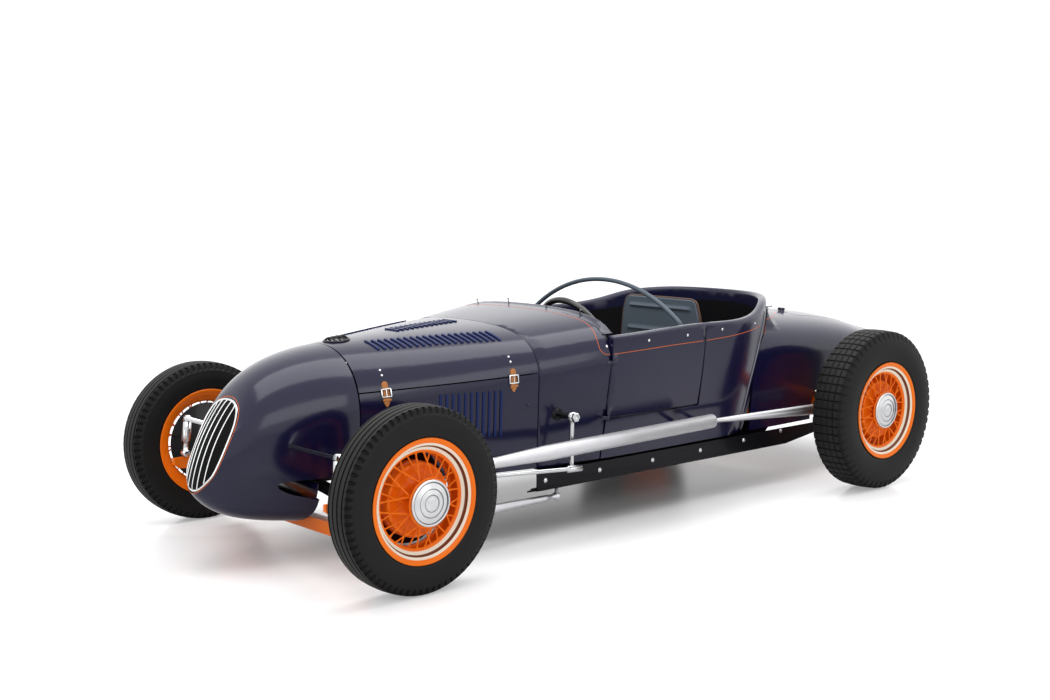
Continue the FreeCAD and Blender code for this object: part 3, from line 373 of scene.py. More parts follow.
studio = {
    "floorColor": (0.90, 0.90, 0.91),
    "floorReach": 40,
    "floorGlow": 0.30,
    # the floor's glow starts and grows beyond these; inside them the floor keeps a painted shadow under the
    # car
    "glowStarts": (1.55, 0.32),  # in x and in y from the car's middle
    "glowGrows": (0.45, 0.36),
    "worldStrength": 0.60,
    "mirrorStrength": 1.40,
    "lights": {
        "overhead": {"place": (0.2, 0.4, 3.6), "target": (0.1, 0.0, 0.4), "size": (6.0, 2.4), "power": 130.0},
        "side": {"place": (1.4, 5.4, 2.5), "target": (0.2, 0.3, 0.5), "size": (6.0, 1.8), "power": 60.0},
        "front": {"place": (5.8, -0.6, 2.4), "target": (1.2, 0.0, 0.4), "size": (3.6, 2.0), "power": 30.0},
    },
}
for name, plan in studio["lights"].items():
    data = bpy.data.lights.new(name, "AREA")
    data.shape = "RECTANGLE"
    data.size, data.size_y = plan["size"]
    data.energy = plan["power"]
    light = addObject(name, data)
    light.location = plan["place"]
    aim = Vector(plan["target"]) - Vector(plan["place"])
    light.rotation_euler = aim.to_track_quat("-Z", "Y").to_euler()


def floorPale(name):
    # pale floor that glows a little for the camera, so that it fades into the white behind it;
    #     # the glow stops under the car, which paints a deep shadow there
    s = Shader(name)
    seenDirect = Sock(s.tree, s.node("ShaderNodeLightPath").outputs["Is Camera Ray"])
    beside = [(across.math("ABSOLUTE") - start) / grow
              for across, start, grow in zip(s.xyz(), studio["glowStarts"], studio["glowGrows"])]
    glow = seenDirect * beside[0].math("MAXIMUM", beside[1]).clamped()
    s.set(Base_Color=studio["floorColor"], Roughness=s.noise(0.8, 3.0) * 0.10 + 0.16,
          Emission_Color=s.mix(glow, (0.0, 0.0, 0.0), (1.0, 1.0, 1.0)),
          Emission_Strength=studio["floorGlow"], Specular_IOR_Level=0.30)
    return s.mat


world = bpy.data.worlds.new("studio")
bpy.context.scene.world = world
world.use_nodes = True
worldTree = world.node_tree
background = worldTree.nodes["Background"]
background.inputs["Color"].default_value = (1.0, 1.0, 1.0, 1.0)
rays = worldTree.nodes.new("ShaderNodeLightPath")
seen, mirrored = [Sock(worldTree, rays.outputs[kind]) for kind in ("Is Camera Ray", "Is Glossy Ray")]
strength = (mirrored * studio["mirrorStrength"]).math("MAXIMUM", seen)
strength = strength.math("MAXIMUM", studio["worldStrength"])
worldTree.links.new(strength.out, background.inputs["Strength"])

floorMesh = bpy.data.meshes.new("floor")
reach = studio["floorReach"]
corners = [(-reach, -reach, 0), (reach, -reach, 0), (reach, reach, 0), (-reach, reach, 0)]
floorMesh.from_pydata(corners, [], [(0, 1, 2, 3)])
floor = addObject("floor", floorMesh)
floor.data.materials.append(floorPale("floor_pale"))
print("camera, light and floor are set")


# Where the cockpit's black lining ends below the rim.
lipLine = {"x": (aft(1.14), aft(1.70), aft(2.10), aft(2.50)), "height": (0.735, 0.745, 0.775, 0.835)}

# Finishes: colours are the values to change.
paintTones = {
    "body": (0.0044, 0.0041, 0.0250),
    "bodyLight": (0.0060, 0.0056, 0.0310),
    "sheen": (0.62, 0.66, 1.0),
    "pan": (0.0022, 0.0021, 0.0036),
    "orange": (0.92, 0.192, 0.005),
    "orangeDeep": (0.84, 0.148, 0.004),
    "cream": (0.83, 0.76, 0.62),
    "grey": (0.080, 0.100, 0.125),
    "stripe": (0.60, 0.13, 0.036),
}


def toned(color, share):
    return tuple(v * share for v in color)


def glossPaint(name, color, second, rough=0.30, coat=0.12, coatRough=0.06, specular=0.10,
               sheen=(1.0, 1.0, 1.0)):
    # sprayed paint under clear coat, with a faint cloud of tone and orange peel
    s = Shader(name)
    s.set(Base_Color=s.mix(s.noise(3.0, 2.0), color, second), Roughness=rough, Coat_Weight=coat,
          Coat_Roughness=coatRough, Specular_Tint=sheen, Specular_IOR_Level=specular)
    s.bump(s.noise(260.0, 1.0), 0.03, 0.0003)
    return s.mat


def metal(name, color, rough, brush=0.0, spread=0.06, scale=40.0):
    # bare metal with uneven polish; brush draws the noise out along the car
    s = Shader(name)
    stretch = s.node("ShaderNodeMapping", Vector=s.coord, Scale=(1.0 - brush * 0.95, 1.0, 1.0))
    wear = s.noise(scale, 4.0, 0.6, stretch.outputs[0])
    s.set(Base_Color=s.mix(wear, toned(color, 0.80), color), Metallic=1.0,
          Roughness=wear * spread + (rough - spread / 2))
    s.bump(s.noise(scale * 8, 2.0, 0.5, stretch.outputs[0]), 0.05, 0.0003)
    return s.mat


def plainShader(name, color, second, rough, bumpScale=180.0, bumpStrength=0.15, coat=0.0, specular=0.35):
    # leather, plastic or flat paint: a cloud of tone and a grain
    s = Shader(name)
    cloud = s.noise(14.0, 4.0)
    s.set(Base_Color=s.mix(cloud, color, second), Roughness=cloud * 0.12 + rough, Coat_Weight=coat,
          Specular_IOR_Level=specular)
    s.bump(s.noise(bumpScale, 3.0), bumpStrength, 0.0006)
    return s.mat


def cushionLeather(name):
    # black leather with a fine grain and a few soft folds
    s = Shader(name)
    folds = s.noise(5.0, 2.0, 0.4)
    grain = s.noise(520.0, 3.0, 0.6)
    s.set(Base_Color=s.mix(folds, (0.010, 0.0095, 0.0095), (0.020, 0.019, 0.018)),
          Roughness=folds * 0.15 + 0.34)
    s.bump(folds * 3.0 + grain, 0.35, 0.0008)
    return s.mat


def cockpitLining(name):
    # black lining below a painted lip, whose lower edge climbs from the doors to the back in straight runs
    s = Shader(name)
    x, y, z = s.xyz()
    places, heights = lipLine["x"], lipLine["height"]
    edge = heights[0]
    for near, far, low, high in zip(places, places[1:], heights, heights[1:]):
        edge = ((near - x) / (near - far)).clamped() * (high - low) + edge
    painted = (z - edge).above(0.0, 0.003)
    s.set(Base_Color=s.mix(painted, (0.0030, 0.0030, 0.0038), paintTones["body"]), Roughness=0.42,
          Coat_Weight=painted * 0.70, Coat_Roughness=0.15, Specular_IOR_Level=0.08)
    return s.mat


def meshScreen(name):
    # black woven screen: crossing wires cut by sine waves
    s = Shader(name)
    x, y, z = s.xyz()
    weave = ((y * 1400.0).sine() + (z * 1400.0).sine()) * 0.25 + 0.5
    s.set(Base_Color=s.mix(weave, (0.0012, 0.0012, 0.0012), (0.0065, 0.0065, 0.007)), Roughness=0.6,
          Specular_IOR_Level=0.06)
    s.bump(weave, 0.6, 0.002)
    return s.mat


# Bands on the wheels: from and to, as distances from the axle.
wheelBands = {
    # the cap's steps and the rim's groove below are darkened with painted shade
    "capStepShade": ((0.0275, 0.0310), (0.0480, 0.0515), (0.0700, 0.0745)),
    "rimCream": ((0.1775, 0.1885), (0.1945, 0.2035)),
    "rimGrooveShadow": (0.1885, 0.1945),
}


def ringMetal(name, centre):
    # spun aluminium: fine rings round the wheel's axis, with painted shade in the cap's steps
    s = Shader(name)
    away = s.aboutAxle(centre)[0]
    rings = (away * 2400.0).sine() * 0.5 + 0.5
    # painted shade in the cap's recessed steps
    steps = sum(away.band(low, high, 0.001) for low, high in wheelBands["capStepShade"])
    bright = s.mix(rings, (0.54, 0.55, 0.56), (0.63, 0.63, 0.63))
    s.set(Base_Color=s.mix(steps.clamped(), bright, (0.16, 0.16, 0.17)), Metallic=1.0,
          Roughness=rings * 0.05 + 0.20)
    s.bump(rings, 0.06, 0.0003)
    return s.mat


def rimPaint(name, centre, track):
    # orange rim; its outer face has two cream lines either side of a groove darkened with painted shadow, by
    # distance from the axle
    s = Shader(name)
    away, x, z, y = s.aboutAxle(centre)
    cream = sum(away.band(low, high, 0.0005) for low, high in wheelBands["rimCream"])
    groove = away.band(*wheelBands["rimGrooveShadow"], 0.0005)
    outside = y.math("ABSOLUTE").above(track / 2, 0.002)
    color = s.mix(s.noise(3.0, 2.0), paintTones["orange"], paintTones["orangeDeep"])
    color = s.mix(cream.math("MINIMUM", outside), color, paintTones["cream"])
    # the groove's dark brown is painted shadow
    s.set(Base_Color=s.mix(groove * outside, color, (0.16, 0.045, 0.020)), Roughness=0.30, Coat_Weight=0.12,
          Specular_IOR_Level=0.12)
    return s.mat


def tyreRubber(name, centre, radius, slots):
    # grey-black rubber: darker on the side walls, with painted shade in the grooves and slots, dusty on the
    # tread
    s = Shader(name)
    away, x, z, y = s.aboutAxle(centre)
    dust = s.noise(9.0, 5.0, 0.6)
    side = s.mix(dust, (0.0050, 0.0053, 0.0052), (0.0090, 0.0093, 0.0090))
    worn = s.mix(dust, (0.0095, 0.0098, 0.0094), (0.0180, 0.0180, 0.0170))
    # painted shade below the tread's face, in its grooves
    tread = s.mix(away.above(radius - 0.0041, 0.0010), (0.0016, 0.0016, 0.0016), worn)
    phase = (x.math("ARCTAN2", z) * (slots / (2 * math.pi))).math("FRACT")
    # painted shade in the shoulder slots
    slotShade = (1 - phase.above(0.27, 0.06)) * away.band(radius - 0.029, radius - 0.003, 0.002)
    rubber = s.mix(slotShade, s.mix(away.above(radius - 0.016, 0.008), side, tread), (0.0010, 0.0010, 0.0010))
    s.set(Base_Color=rubber, Roughness=dust * 0.16 + 0.46, Specular_IOR_Level=0.16)
    s.bump(s.noise(420.0, 2.0), 0.2, 0.0005)
    return s.mat


wheelPlaces = {
    "front": {"centre": (axleX, 0.333), "track": 1.500, "radius": 0.333, "half": 0.067},
    "rear": {"centre": (rearAxleX, 0.367), "track": 1.540, "radius": 0.367, "half": 0.090},
}
bodyPaint = glossPaint("body_paint", paintTones["body"], paintTones["bodyLight"], coat=0.70, coatRough=0.15,
                       specular=0.06, sheen=paintTones["sheen"])
panPaint = glossPaint("pan_paint", paintTones["pan"], toned(paintTones["pan"], 1.4), 0.36, 0.1, 0.10)
orangePaint = glossPaint("orange_paint", paintTones["orange"], paintTones["orangeDeep"], 0.32, 0.12, 0.06)
greyPaint = glossPaint("grey_paint", paintTones["grey"], toned(paintTones["grey"], 1.2), 0.42, 0.12)
stripePaint = glossPaint("stripe_paint", paintTones["stripe"], paintTones["stripe"], 0.40, 0.0, 0.1, 0.15)
pipeSatin = metal("pipe_satin", (0.62, 0.62, 0.64), 0.46, 0.6)
chrome = metal("chrome", (0.60, 0.61, 0.62), 0.10, 0.0, 0.05)
brass = metal("brass", (0.60, 0.40, 0.13), 0.24)
darkSteel = metal("dark_steel", (0.16, 0.16, 0.17), 0.36)
insideBlack = plainShader("inside_black", (0.0030, 0.0030, 0.0038), (0.0050, 0.0050, 0.0062), 0.5, 90.0, 0.1,
                          specular=0.14)
blackSatin = plainShader("black_satin", (0.006, 0.006, 0.007), (0.011, 0.011, 0.012), 0.42)
wheelPlastic = plainShader("wheel_plastic", (0.010, 0.010, 0.011), (0.018, 0.018, 0.018), 0.24, 60.0, 0.04,
                           coat=0.3)
tanLeather = plainShader("tan_leather", (0.36, 0.125, 0.026), (0.50, 0.20, 0.055), 0.46, 700.0, 0.5)
brownLeather = plainShader("brown_leather", (0.055, 0.027, 0.017), (0.090, 0.045, 0.028), 0.50, 700.0, 0.5)
blackLeather = cushionLeather("black_leather")
liningPaint = cockpitLining("cockpit_lining")
meshBlack = meshScreen("mesh_black")
brightTrim = metal("bright_trim", (0.74, 0.75, 0.75), 0.16, 0.0, 0.04)
finPaint = glossPaint("fin_paint", (0.004, 0.004, 0.006), (0.006, 0.006, 0.009), 0.2, 0.5)
# pale grey bead: a painted reflection line down the body's rear corners
beadReflectionPaint = glossPaint("bead_reflection_paint", (0.15, 0.15, 0.18), (0.19, 0.19, 0.22), 0.18, 0.5)
# louvers: a lighter blue than the body, which paints the highlights on their ribs
louverHighlightPaint = glossPaint("louver_highlight_paint", (0.011, 0.020, 0.085), (0.015, 0.026, 0.105),
                         sheen=paintTones["sheen"])
dialWhite = plainShader("dial_white", (0.55, 0.54, 0.50), (0.62, 0.61, 0.57), 0.40, 60.0, 0.02, coat=0.3)
print("finishes are set")


middleLine = {"hood": 0.50, "nose": 0.46}  # heights that the panels are seen from
lidHinge = {"x": aft(2.6625), "reach": 0.035}
roundBack = {"x": aft(1.85), "lining": 0.04}  # where the cockpit's back begins, and how far up it is lined


def facesAxis(centre, normal):
    # faces of a hooded panel that look towards the car's middle line
    out = centre * [0, 1, 1] - [0, 0, middleLine["hood"]]
    return (normal * out).sum(1) < -0.02


def facesLid(centre, normal):
    # the same for the deck lid, but for its hinge barrels
    return facesAxis(centre, normal) & (np.abs(centre[:, 0] - lidHinge["x"]) > lidHinge["reach"])


def facesNose(centre, normal):
    # the nose's inner skin, seen from its middle line
    out = (centre - [0, 0, middleLine["nose"]]) * [0.0, 1.0, 0.8]
    return (normal * out).sum(1) < -0.01


def facesCockpit(centre, normal):
    # the cockpit's inner faces, up to a little over the lining's edge
    x, y, z = centre.T
    out = np.stack([np.minimum(x - roundBack["x"], 0.0), y * 1.1], 1)
    towards = (normal[:, :2] * out).sum(1) < -0.02
    lip = np.interp(-x, [-v for v in lipLine["x"]], lipLine["height"]) + roundBack["lining"]
    return (towards & (z < lip)) | (normal[:, 2] < -0.9)


# CAD pieces by finish, and which of their faces are lined.
dressing = (
    (bodyPaint, facesNose, "nose_shell"),
    (bodyPaint, facesAxis, "hood_top hood_sides cowl turtle_deck"),
    (bodyPaint, facesLid, "deck_lid"),
    (bodyPaint, facesCockpit, "body_tub door_left door_right"),
    (bodyPaint, None, "dash_panel"),
    (louverHighlightPaint, None, "hood_louvers side_louvers"),
    # the engine block wears the dark pan paint as painted shade, so that the hood's gaps read dark
    (panPaint, None, "belly_pan frame_rails steering_column leaf_springs engine_block"),
    (panPaint, None, "knuckle_left knuckle_right"),
    (orangePaint, None, "front_axle gearbox_and_torque_tube rear_axle"),
    (greyPaint, None, "roll_hoop"),
    (blackSatin, None, "cockpit_floor"),
    (meshBlack, None, "radiator"),
    (wheelPlastic, None, "steering_wheel"),
    (pipeSatin, None, "radius_rods side_pipes"),
    (chrome, None, "front_shocks tie_rod pitman_arm drag_link"),
)
for material, inner, names in dressing:
    for name in names.split():
        mergedCopy(name, material, inner, liningPaint if inner is facesCockpit else insideBlack)
print("CAD pieces are dressed")


# Tyres: the section is a curve through side-wall points, turned about the axle; the tread's
# grooves and the shoulder's slots are depths taken off along the section's own normal.
tyreShape = {
    "front": {"steps": 432, "rows": 77, "per": 4, "slots": 72, "slotDepth": 0.0055, "depth": 0.0075,
              "blocks": False, "grooves": (-0.56, -0.19, 0.19, 0.56), "grooveHalf": 0.045},
    "rear": {"steps": 720, "rows": 61, "per": 3, "slots": 60, "slotDepth": 0.0035, "depth": 0.0045,
             "blocks": True, "grooves": (-0.51, -0.17, 0.17, 0.51), "grooveHalf": 0.020},
    # outer and inner wall: (share of the half width, share of the way from bead to tread)
    "side": ((0.78, -0.045), (0.90, 0.035), (0.965, 0.16), (1.0, 0.40), (0.985, 0.60), (0.935, 0.78),
             (0.86, 0.91), (0.78, 0.965)),
    "inner": ((0.78, -0.045), (0.90, 0.035), (0.955, 0.16), (0.975, 0.40), (0.945, 0.60), (0.880, 0.78),
              (0.79, 0.91), (0.70, 0.965)),
    "beadRadius": 0.221,
    "crown": (0.76, -0.68),  # outer and inner edge of the tread, as shares of the half width
    "crownDrop": 0.0036,
    "slotFrom": (0.76, 0.66),  # up the side wall, and across the tread
    "slotShare": 0.30,
    "blockShare": 0.12,
    "rings": ((0.10, 0.02), (0.70, 0.015)),  # raised rings on the side walls: place and half width
    "ringRise": 0.0012,
}


def tyreSection(place, rows, per):
    # (y, radius) from the outer bead over the tread to the inner bead, and how far up the wall each is;
    # the tread itself counts as 2
    side, inner = curveThrough(tyreShape["side"], per), curveThrough(tyreShape["inner"], per)[::-1]
    start, stop = tyreShape["crown"]
    bead = tyreShape["beadRadius"]
    crown = np.linspace(start, stop, rows)
    top = np.stack([crown * place["half"], place["radius"] - tyreShape["crownDrop"] * (crown / start)**2], 1)
    walls = [np.stack([turn * edge[:, 0] * place["half"], bead + edge[:, 1] * (place["radius"] - bead)], 1)
             for turn, edge in ((1, side), (-1, inner))]
    share = np.concatenate([side[:, 1], np.full(rows, 2.0), inner[:, 1]])
    return np.vstack([walls[0], top, walls[1]]), share


def tyrePoints(end, sign):
    # grooves run round the tread; slots cross its shoulders, and on the rear tyres the whole tread:
    # point = axle + (r sin t, y, r cos t), each moved inwards by the depth there
    place, plan = wheelPlaces[end], tyreShape[end]
    line, share = tyreSection(place, plan["rows"], plan["per"])
    t = np.arange(plan["steps"]) / plan["steps"]
    run = unit(np.gradient(line, axis=0))
    inward = np.stack([run[:, 1], -run[:, 0]], 1)
    middle = np.array([0.0, place["radius"] - 0.06])
    inward *= np.sign(((middle - line) * inward).sum(1))[:, None]
    across = line[:, 0] / place["half"]
    onTread = share > 1.5
    grooves = np.any([np.abs(across - mark) < plan["grooveHalf"] for mark in plan["grooves"]], 0) & onTread
    depth = np.repeat(grooves[:, None] * plan["depth"], plan["steps"], 1)
    phase = ((t * plan["slots"]) % 1.0)[None, :]
    wallFrom, treadFrom = tyreShape["slotFrom"]
    shoulder = (share > wallFrom) & ~onTread | onTread & (np.abs(across) > treadFrom) & plan["blocks"]
    depth[shoulder[:, None] & (phase < tyreShape["slotShare"])] = plan["slotDepth"]
    if plan["blocks"]:
        depth[onTread[:, None] & (phase < tyreShape["blockShare"])] = plan["depth"]
    ring = np.any([np.abs(share - mark) < half for mark, half in tyreShape["rings"]], 0)
    depth -= np.where(ring, tyreShape["ringRise"], 0.0)[:, None]
    y = line[:, :1] + inward[:, :1] * depth
    r = line[:, 1:] + inward[:, 1:] * depth
    x = place["centre"][0] + r * np.sin(2 * np.pi * t)
    z = place["centre"][1] + r * np.cos(2 * np.pi * t)
    points = np.stack([x, sign * (place["track"] / 2 + y), z], -1)
    return points.reshape(-1, 3), gridFaces(len(line), plan["steps"], True, True)


# Hub cap from its edge to its middle, as (height, radius); its top is the wheel's face.
capShape = ((0.0440, 0.0800), (0.0490, 0.0822), (0.0530, 0.0824), (0.0560, 0.0805), (0.0572, 0.0765),
            (0.0562, 0.0740), (0.0535, 0.0722), (0.0537, 0.0700), (0.0576, 0.0560), (0.0590, 0.0515),
            (0.0572, 0.0495), (0.0576, 0.0475), (0.0600, 0.0360), (0.0608, 0.0310), (0.0592, 0.0290),
            (0.0594, 0.0220), (0.0612, 0.0120), (0.0620, 0.0004))
# Wire wheel: rim, bead seat and drum are turned from (distance out from the rim's face, radius), the hub from
# (distance out from the cap's face, radius); the spokes run from two rows on the hub to the rim's step.
wheelShape = {
    "rim": ((0.0, 0.2222), (0.0016, 0.2200), (0.0012, 0.2150), (-0.0012, 0.2080), (-0.0040, 0.2040),
            (-0.0070, 0.1990), (-0.0085, 0.1950), (-0.0150, 0.1930), (-0.0200, 0.1895), (-0.0215, 0.1865),
            (-0.0260, 0.1790), (-0.0275, 0.1765), (-0.0300, 0.1705), (-0.0345, 0.1670), (-0.0400, 0.1675),
            (-0.0430, 0.1720), (-0.0430, 0.1760)),
    "bead": ((-0.0250, 0.1990), (-0.0060, 0.2025), (-0.0055, 0.2190)),
    "drum": ((-0.052, 0.134), (-0.045, 0.130), (-0.043, 0.122), (-0.0465, 0.115), (-0.050, 0.105),
             (-0.051, 0.085), (-0.046, 0.078), (-0.042, 0.066), (-0.038, 0.056), (-0.038, 0.030)),
    "drumBack": ((-0.032, 0.070), (-0.032, 0.134)),
    "hub": ((-0.026, 0.070), (-0.022, 0.0845), (-0.0175, 0.0880), (-0.0150, 0.0868), (-0.0150, 0.040)),
    "hubFoot": ((-0.040, 0.048), (-0.032, 0.050)),  # the first from the rim's face
    "rimIn": 0.005,
    "face": {"front": 0.1000, "rear": 0.0885},
    "spokes": 8,
    "spokeRadius": 0.0031,
    # hole on the hub: radius, place from cap or rim face, degrees swung; degrees on; hole on the rim
    "spokeRows": ((0.062, "face", -0.022, 32.0, 0.0, -0.034), (0.074, "flange", -0.026, 20.0, 22.5, -0.040)),
    "rimHole": 0.1715,
    "rimSwing": 5.5,
    "elbow": (0.86, 0.004),
    "nipple": ((-0.08, 0.0046), (0.26, 0.0046), (0.30, 0.0034)),
}


def onWheel(degrees, radius, out):
    angle = math.radians(degrees)
    return np.array([math.sin(angle) * radius, out, math.cos(angle) * radius])


def spokeTubes(hub, flange, face, sign):
    # each spoke is a straight run from the hub's hole to the rim's, with a bent elbow and a nipple
    parts = []
    starts = {"face": face, "flange": flange}
    squeeze, back = wheelShape["elbow"]
    nippleAt, nippleRadius = np.array(wheelShape["nipple"]).T
    for i in range(wheelShape["spokes"]):
        for lean in (-1, 1):
            for hubRadius, start, hubOut, swing, further, rimOut in wheelShape["spokeRows"]:
                turn = 360.0 / wheelShape["spokes"] * i + further
                first = onWheel(turn + lean * swing, hubRadius, starts[start] + hubOut)
                last = onWheel(turn + lean * wheelShape["rimSwing"], wheelShape["rimHole"], flange + rimOut)
                run = first + (last - first) * np.linspace(0, 1, 5)[:, None]
                elbow = first * [squeeze, 1, squeeze] - [0, back, 0]
                path = np.vstack([elbow, run]) * [1, sign, 1]
                parts.append(tube(path + hub, wheelShape["spokeRadius"], sides=6, up=(0, 1, 0)))
                nipple = run[-1] + (run[-2] - run[-1]) * nippleAt[:, None]
                parts.append(tube(nipple * [1, sign, 1] + hub, nippleRadius, sides=6, up=(0, 1, 0)))
    return parts


def outFrom(start, profile):
    return [(start + y, r) for y, r in profile]


def rimRing(flange):
    # the outer face's profile, then the inner one mirrored, joined round the tyre's seat
    half = outFrom(flange, wheelShape["rim"])[::-1] + outFrom(flange, wheelShape["bead"])[::-1]
    return half + [(-y, r) for y, r in half[::-1]]


for end, place in wheelPlaces.items():
    rubber = tyreRubber(end + "_rubber", place["centre"], place["radius"], tyreShape[end]["slots"])
    trim = rimPaint(end + "_rim_paint", place["centre"], place["track"])
    spun = ringMetal(end + "_cap_metal", place["centre"])
    flange = place["half"] - wheelShape["rimIn"]
    face = wheelShape["face"][end]
    foot, neck = wheelShape["hubFoot"]
    hubShell = outFrom(flange, [foot]) + outFrom(face, [neck]) + outFrom(face, wheelShape["hub"])
    drum = list(wheelShape["drumBack"]) + outFrom(flange, wheelShape["drum"])
    capLine = curveThrough(capShape, 3) + [face - capShape[-1][0], 0.0]
    for side, sign in (("left", 1), ("right", -1)):
        hub = (place["centre"][0], sign * place["track"] / 2, place["centre"][1])
        body = f"wheel_{end}_{side}"
        tyre = meshPiece(f"{end}_tyre_{side}_tread", [tyrePoints(end, sign)], rubber, body, 40.0)
        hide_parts(f"{end}_tyre_{side}")
        cap = meshPiece(f"{end}_cap_{side}", [turned(capLine, hub, sign)], spun, body, 50.0)
        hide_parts(f"{end}_hub_cap_{side}")
        parts = [turned(rimRing(flange), hub, sign, steps=144, closed=True), turned(drum, hub, sign),
                 turned(hubShell, hub, sign, steps=72)]
        wheel = meshPiece(f"{end}_wheel_{side}", parts, trim, body, 40.0)
        meshPiece(f"{end}_spokes_{side}", spokeTubes(hub, flange, face, sign), orangePaint, body,
                  50.0)
        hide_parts(f"{end}_wire_wheel_{side}")
print("tyres, rims and caps are made")

# Grille: a bead frame and upright bars on the nose's leaning front plane, over a black screen.
grilleShape = {
    "half": ((0, 304), (22, 308), (45, 320), (70, 342), (88, 362), (97, 385), (101.5, 415), (104, 450),
             (105.5, 490), (105.5, 520), (103.5, 545), (95, 572), (79, 598), (51, 615), (22, 621.5),
             (0, 622.5)),
    "stripe": ((0, 286), (36, 297), (64, 315), (88, 338), (104, 362), (112, 388), (116, 420), (118, 455),
               (119, 490), (119, 520), (115, 550), (106, 577), (88, 603), (60, 622), (28, 633), (0, 635)),
    "frameRadius": 0.0050,
    "frameLift": -0.0006,
    "barRadius": 0.0028,
    "barLift": 0.0012,
    "bulge": 0.027,
    "bulgeHalf": 0.104,
    "barSpacing": 0.031,
    "bars": 5,
    "screenRows": (0.3045, 0.622, 60),
    "screenBack": -0.006,
}
# The nose's front plane leans back: x = ahead - slope (z - foot) from the axle; out is square to it.
nosePlane = {"ahead": 0.450, "slope": 0.488, "foot": 0.301, "out": (0.8987, 0.0, 0.4386)}


def onNosePlane(y, z, lift=0.0):
    x = axleX + nosePlane["ahead"] - nosePlane["slope"] * (z - nosePlane["foot"])
    return np.stack([x + lift * nosePlane["out"][0], y + 0 * x, z + lift * nosePlane["out"][2]], -1)


def grilleBulge(y, z):
    # how far the grille stands ahead of the plane: a parabola across, a raised half sine from foot to head
    foot, head = grilleShape["half"][0][1] / 1000, grilleShape["half"][-1][1] / 1000
    share = np.clip((z - foot) / (head - foot), 0.0, 1.0)
    half = grilleShape["bulgeHalf"] * np.clip(np.sin(np.pi * share), 0.02, 1.0)**0.35
    return grilleShape["bulge"] * np.sin(np.pi * share)**0.7 * np.clip(1 - (y / half)**2, 0, 1)


def loopOf(half):
    # the right half's outline, then its mirror image back to the start
    side = curveThrough(half, 6) / 1000
    return np.vstack([side[:-1], (side * [-1, 1])[:0:-1]])


halfSide = curveThrough(grilleShape["half"], 6) / 1000
widest = int(halfSide[:, 0].argmax())
low, high = halfSide[:widest + 1], halfSide[widest:]  # below and above the widest place
framePath = onNosePlane(*loopOf(grilleShape["half"]).T, grilleShape["frameLift"])
barParts = [tube(framePath, grilleShape["frameRadius"], flat=0.55, up=nosePlane["out"], closed=True)]
for k in range(grilleShape["bars"]):
    y = (k - (grilleShape["bars"] - 1) / 2) * grilleShape["barSpacing"]
    z = np.linspace(np.interp(abs(y), *low[:-1].T), np.interp(-abs(y), -high[:, 0], high[:, 1]), 24)
    bar = onNosePlane(y + 0 * z, z, grilleShape["barLift"] + grilleBulge(y, z))
    barParts.append(tube(bar, grilleShape["barRadius"], sides=8, flat=0.9, up=nosePlane["out"]))
grilleBars = meshPiece("grille_bars", barParts, brightTrim, "chassis", 60.0)
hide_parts("grille")


def bulgedScreen():
    # rows climb the grille; each row runs across between the frame's sides and back behind itself
    z = np.linspace(*grilleShape["screenRows"])[:, None]
    below, above = [np.interp(z, part[:, 1], part[:, 0]) for part in (low, high)]
    half = np.where(z < halfSide[widest, 1], below, above)
    y = half * np.linspace(-1, 1, 25)
    z = z + 0 * y
    front = onNosePlane(y, z, 0.0006 + grilleBulge(y, z))
    back = onNosePlane(y * 0.97, z, grilleShape["screenBack"])
    return loft(np.concatenate([front, back[:, ::-1]], 1))


meshPiece("grille_screen", [bulgedScreen()], meshBlack, "chassis", 50.0)


# Pinstripes: painted lines lying on the panels, a little proud of them.
def stripePiece(name, lines, body):
    # lines: list of (node, places in mm from the front axle, samples between places)
    parts = []
    for node, points, per in lines:
        path, normals = landing([node], curveThrough(placed(points), per))
        parts.append(strip(path, normals, stripePlaces["width"], stripePlaces["lift"]))
    meshPiece(name, parts, stripePaint, body, 30.0)


def flipped(points):
    return [(x, -y, z) for x, y, z in points]


stripePlaces = {
    "width": 0.0027,
    "lift": 0.0005,
    "noseWidth": 0.0030,
    "noseLift": 0.0006,
    "noseEnd": 0.452,  # ahead of the axle, where the nose itself ends
    "cowlSide": ((-1140, 556, 724), (-1117, 547, 727), (-1101, 535, 746), (-1102, 517, 779),
                 (-1116, 476, 818), (-1124, 420, 845), (-1120, 350, 861), (-1113, 289, 870),
                 (-1108, 150, 880), (-1106, 0, 883)),
    "door": ((-1146, 560, 724), (-1300, 568, 729), (-1500, 568, 735), (-1702, 562, 738)),
    "tub": ((-1706, 562, 738), (-1850, 560, 744), (-1987, 551, 753), (-2090, 530, 761),
            (-2140, 508, 768)),
    "deck": ((-2206, 484, 779), (-2240, 466, 786), (-2300, 432, 789), (-2450, 332, 789), (-2602, 227, 786)),
}
cowlLine = list(stripePlaces["cowlSide"])
cowlLine += flipped(cowlLine)[-2::-1]
stripePiece("cowl_pinstripe", [("cowl", cowlLine, 8)], "chassis")
for side, turn in (("left", list), ("right", flipped)):
    stripePiece(f"door_pinstripe_{side}", [(f"door_{side}", turn(stripePlaces["door"]), 14)], f"door_{side}")
    stripePiece(f"rear_pinstripe_{side}", [("body_tub", turn(stripePlaces["tub"]), 14),
                                           ("turtle_deck", turn(stripePlaces["deck"]), 14)], "chassis")
path, normals = landing(["nose_shell"], onNosePlane(*loopOf(grilleShape["stripe"]).T, 0.002))
points, faces = strip(np.vstack([path, path[:2]]), np.vstack([normals, normals[:2]]),
                      stripePlaces["noseWidth"], stripePlaces["noseLift"])
points[:, 0] = np.minimum(points[:, 0], axleX + stripePlaces["noseEnd"])
meshPiece("nose_pinstripe", [(points, faces)], stripePaint, "chassis", 30.0)
print("grille and pinstripes are made")


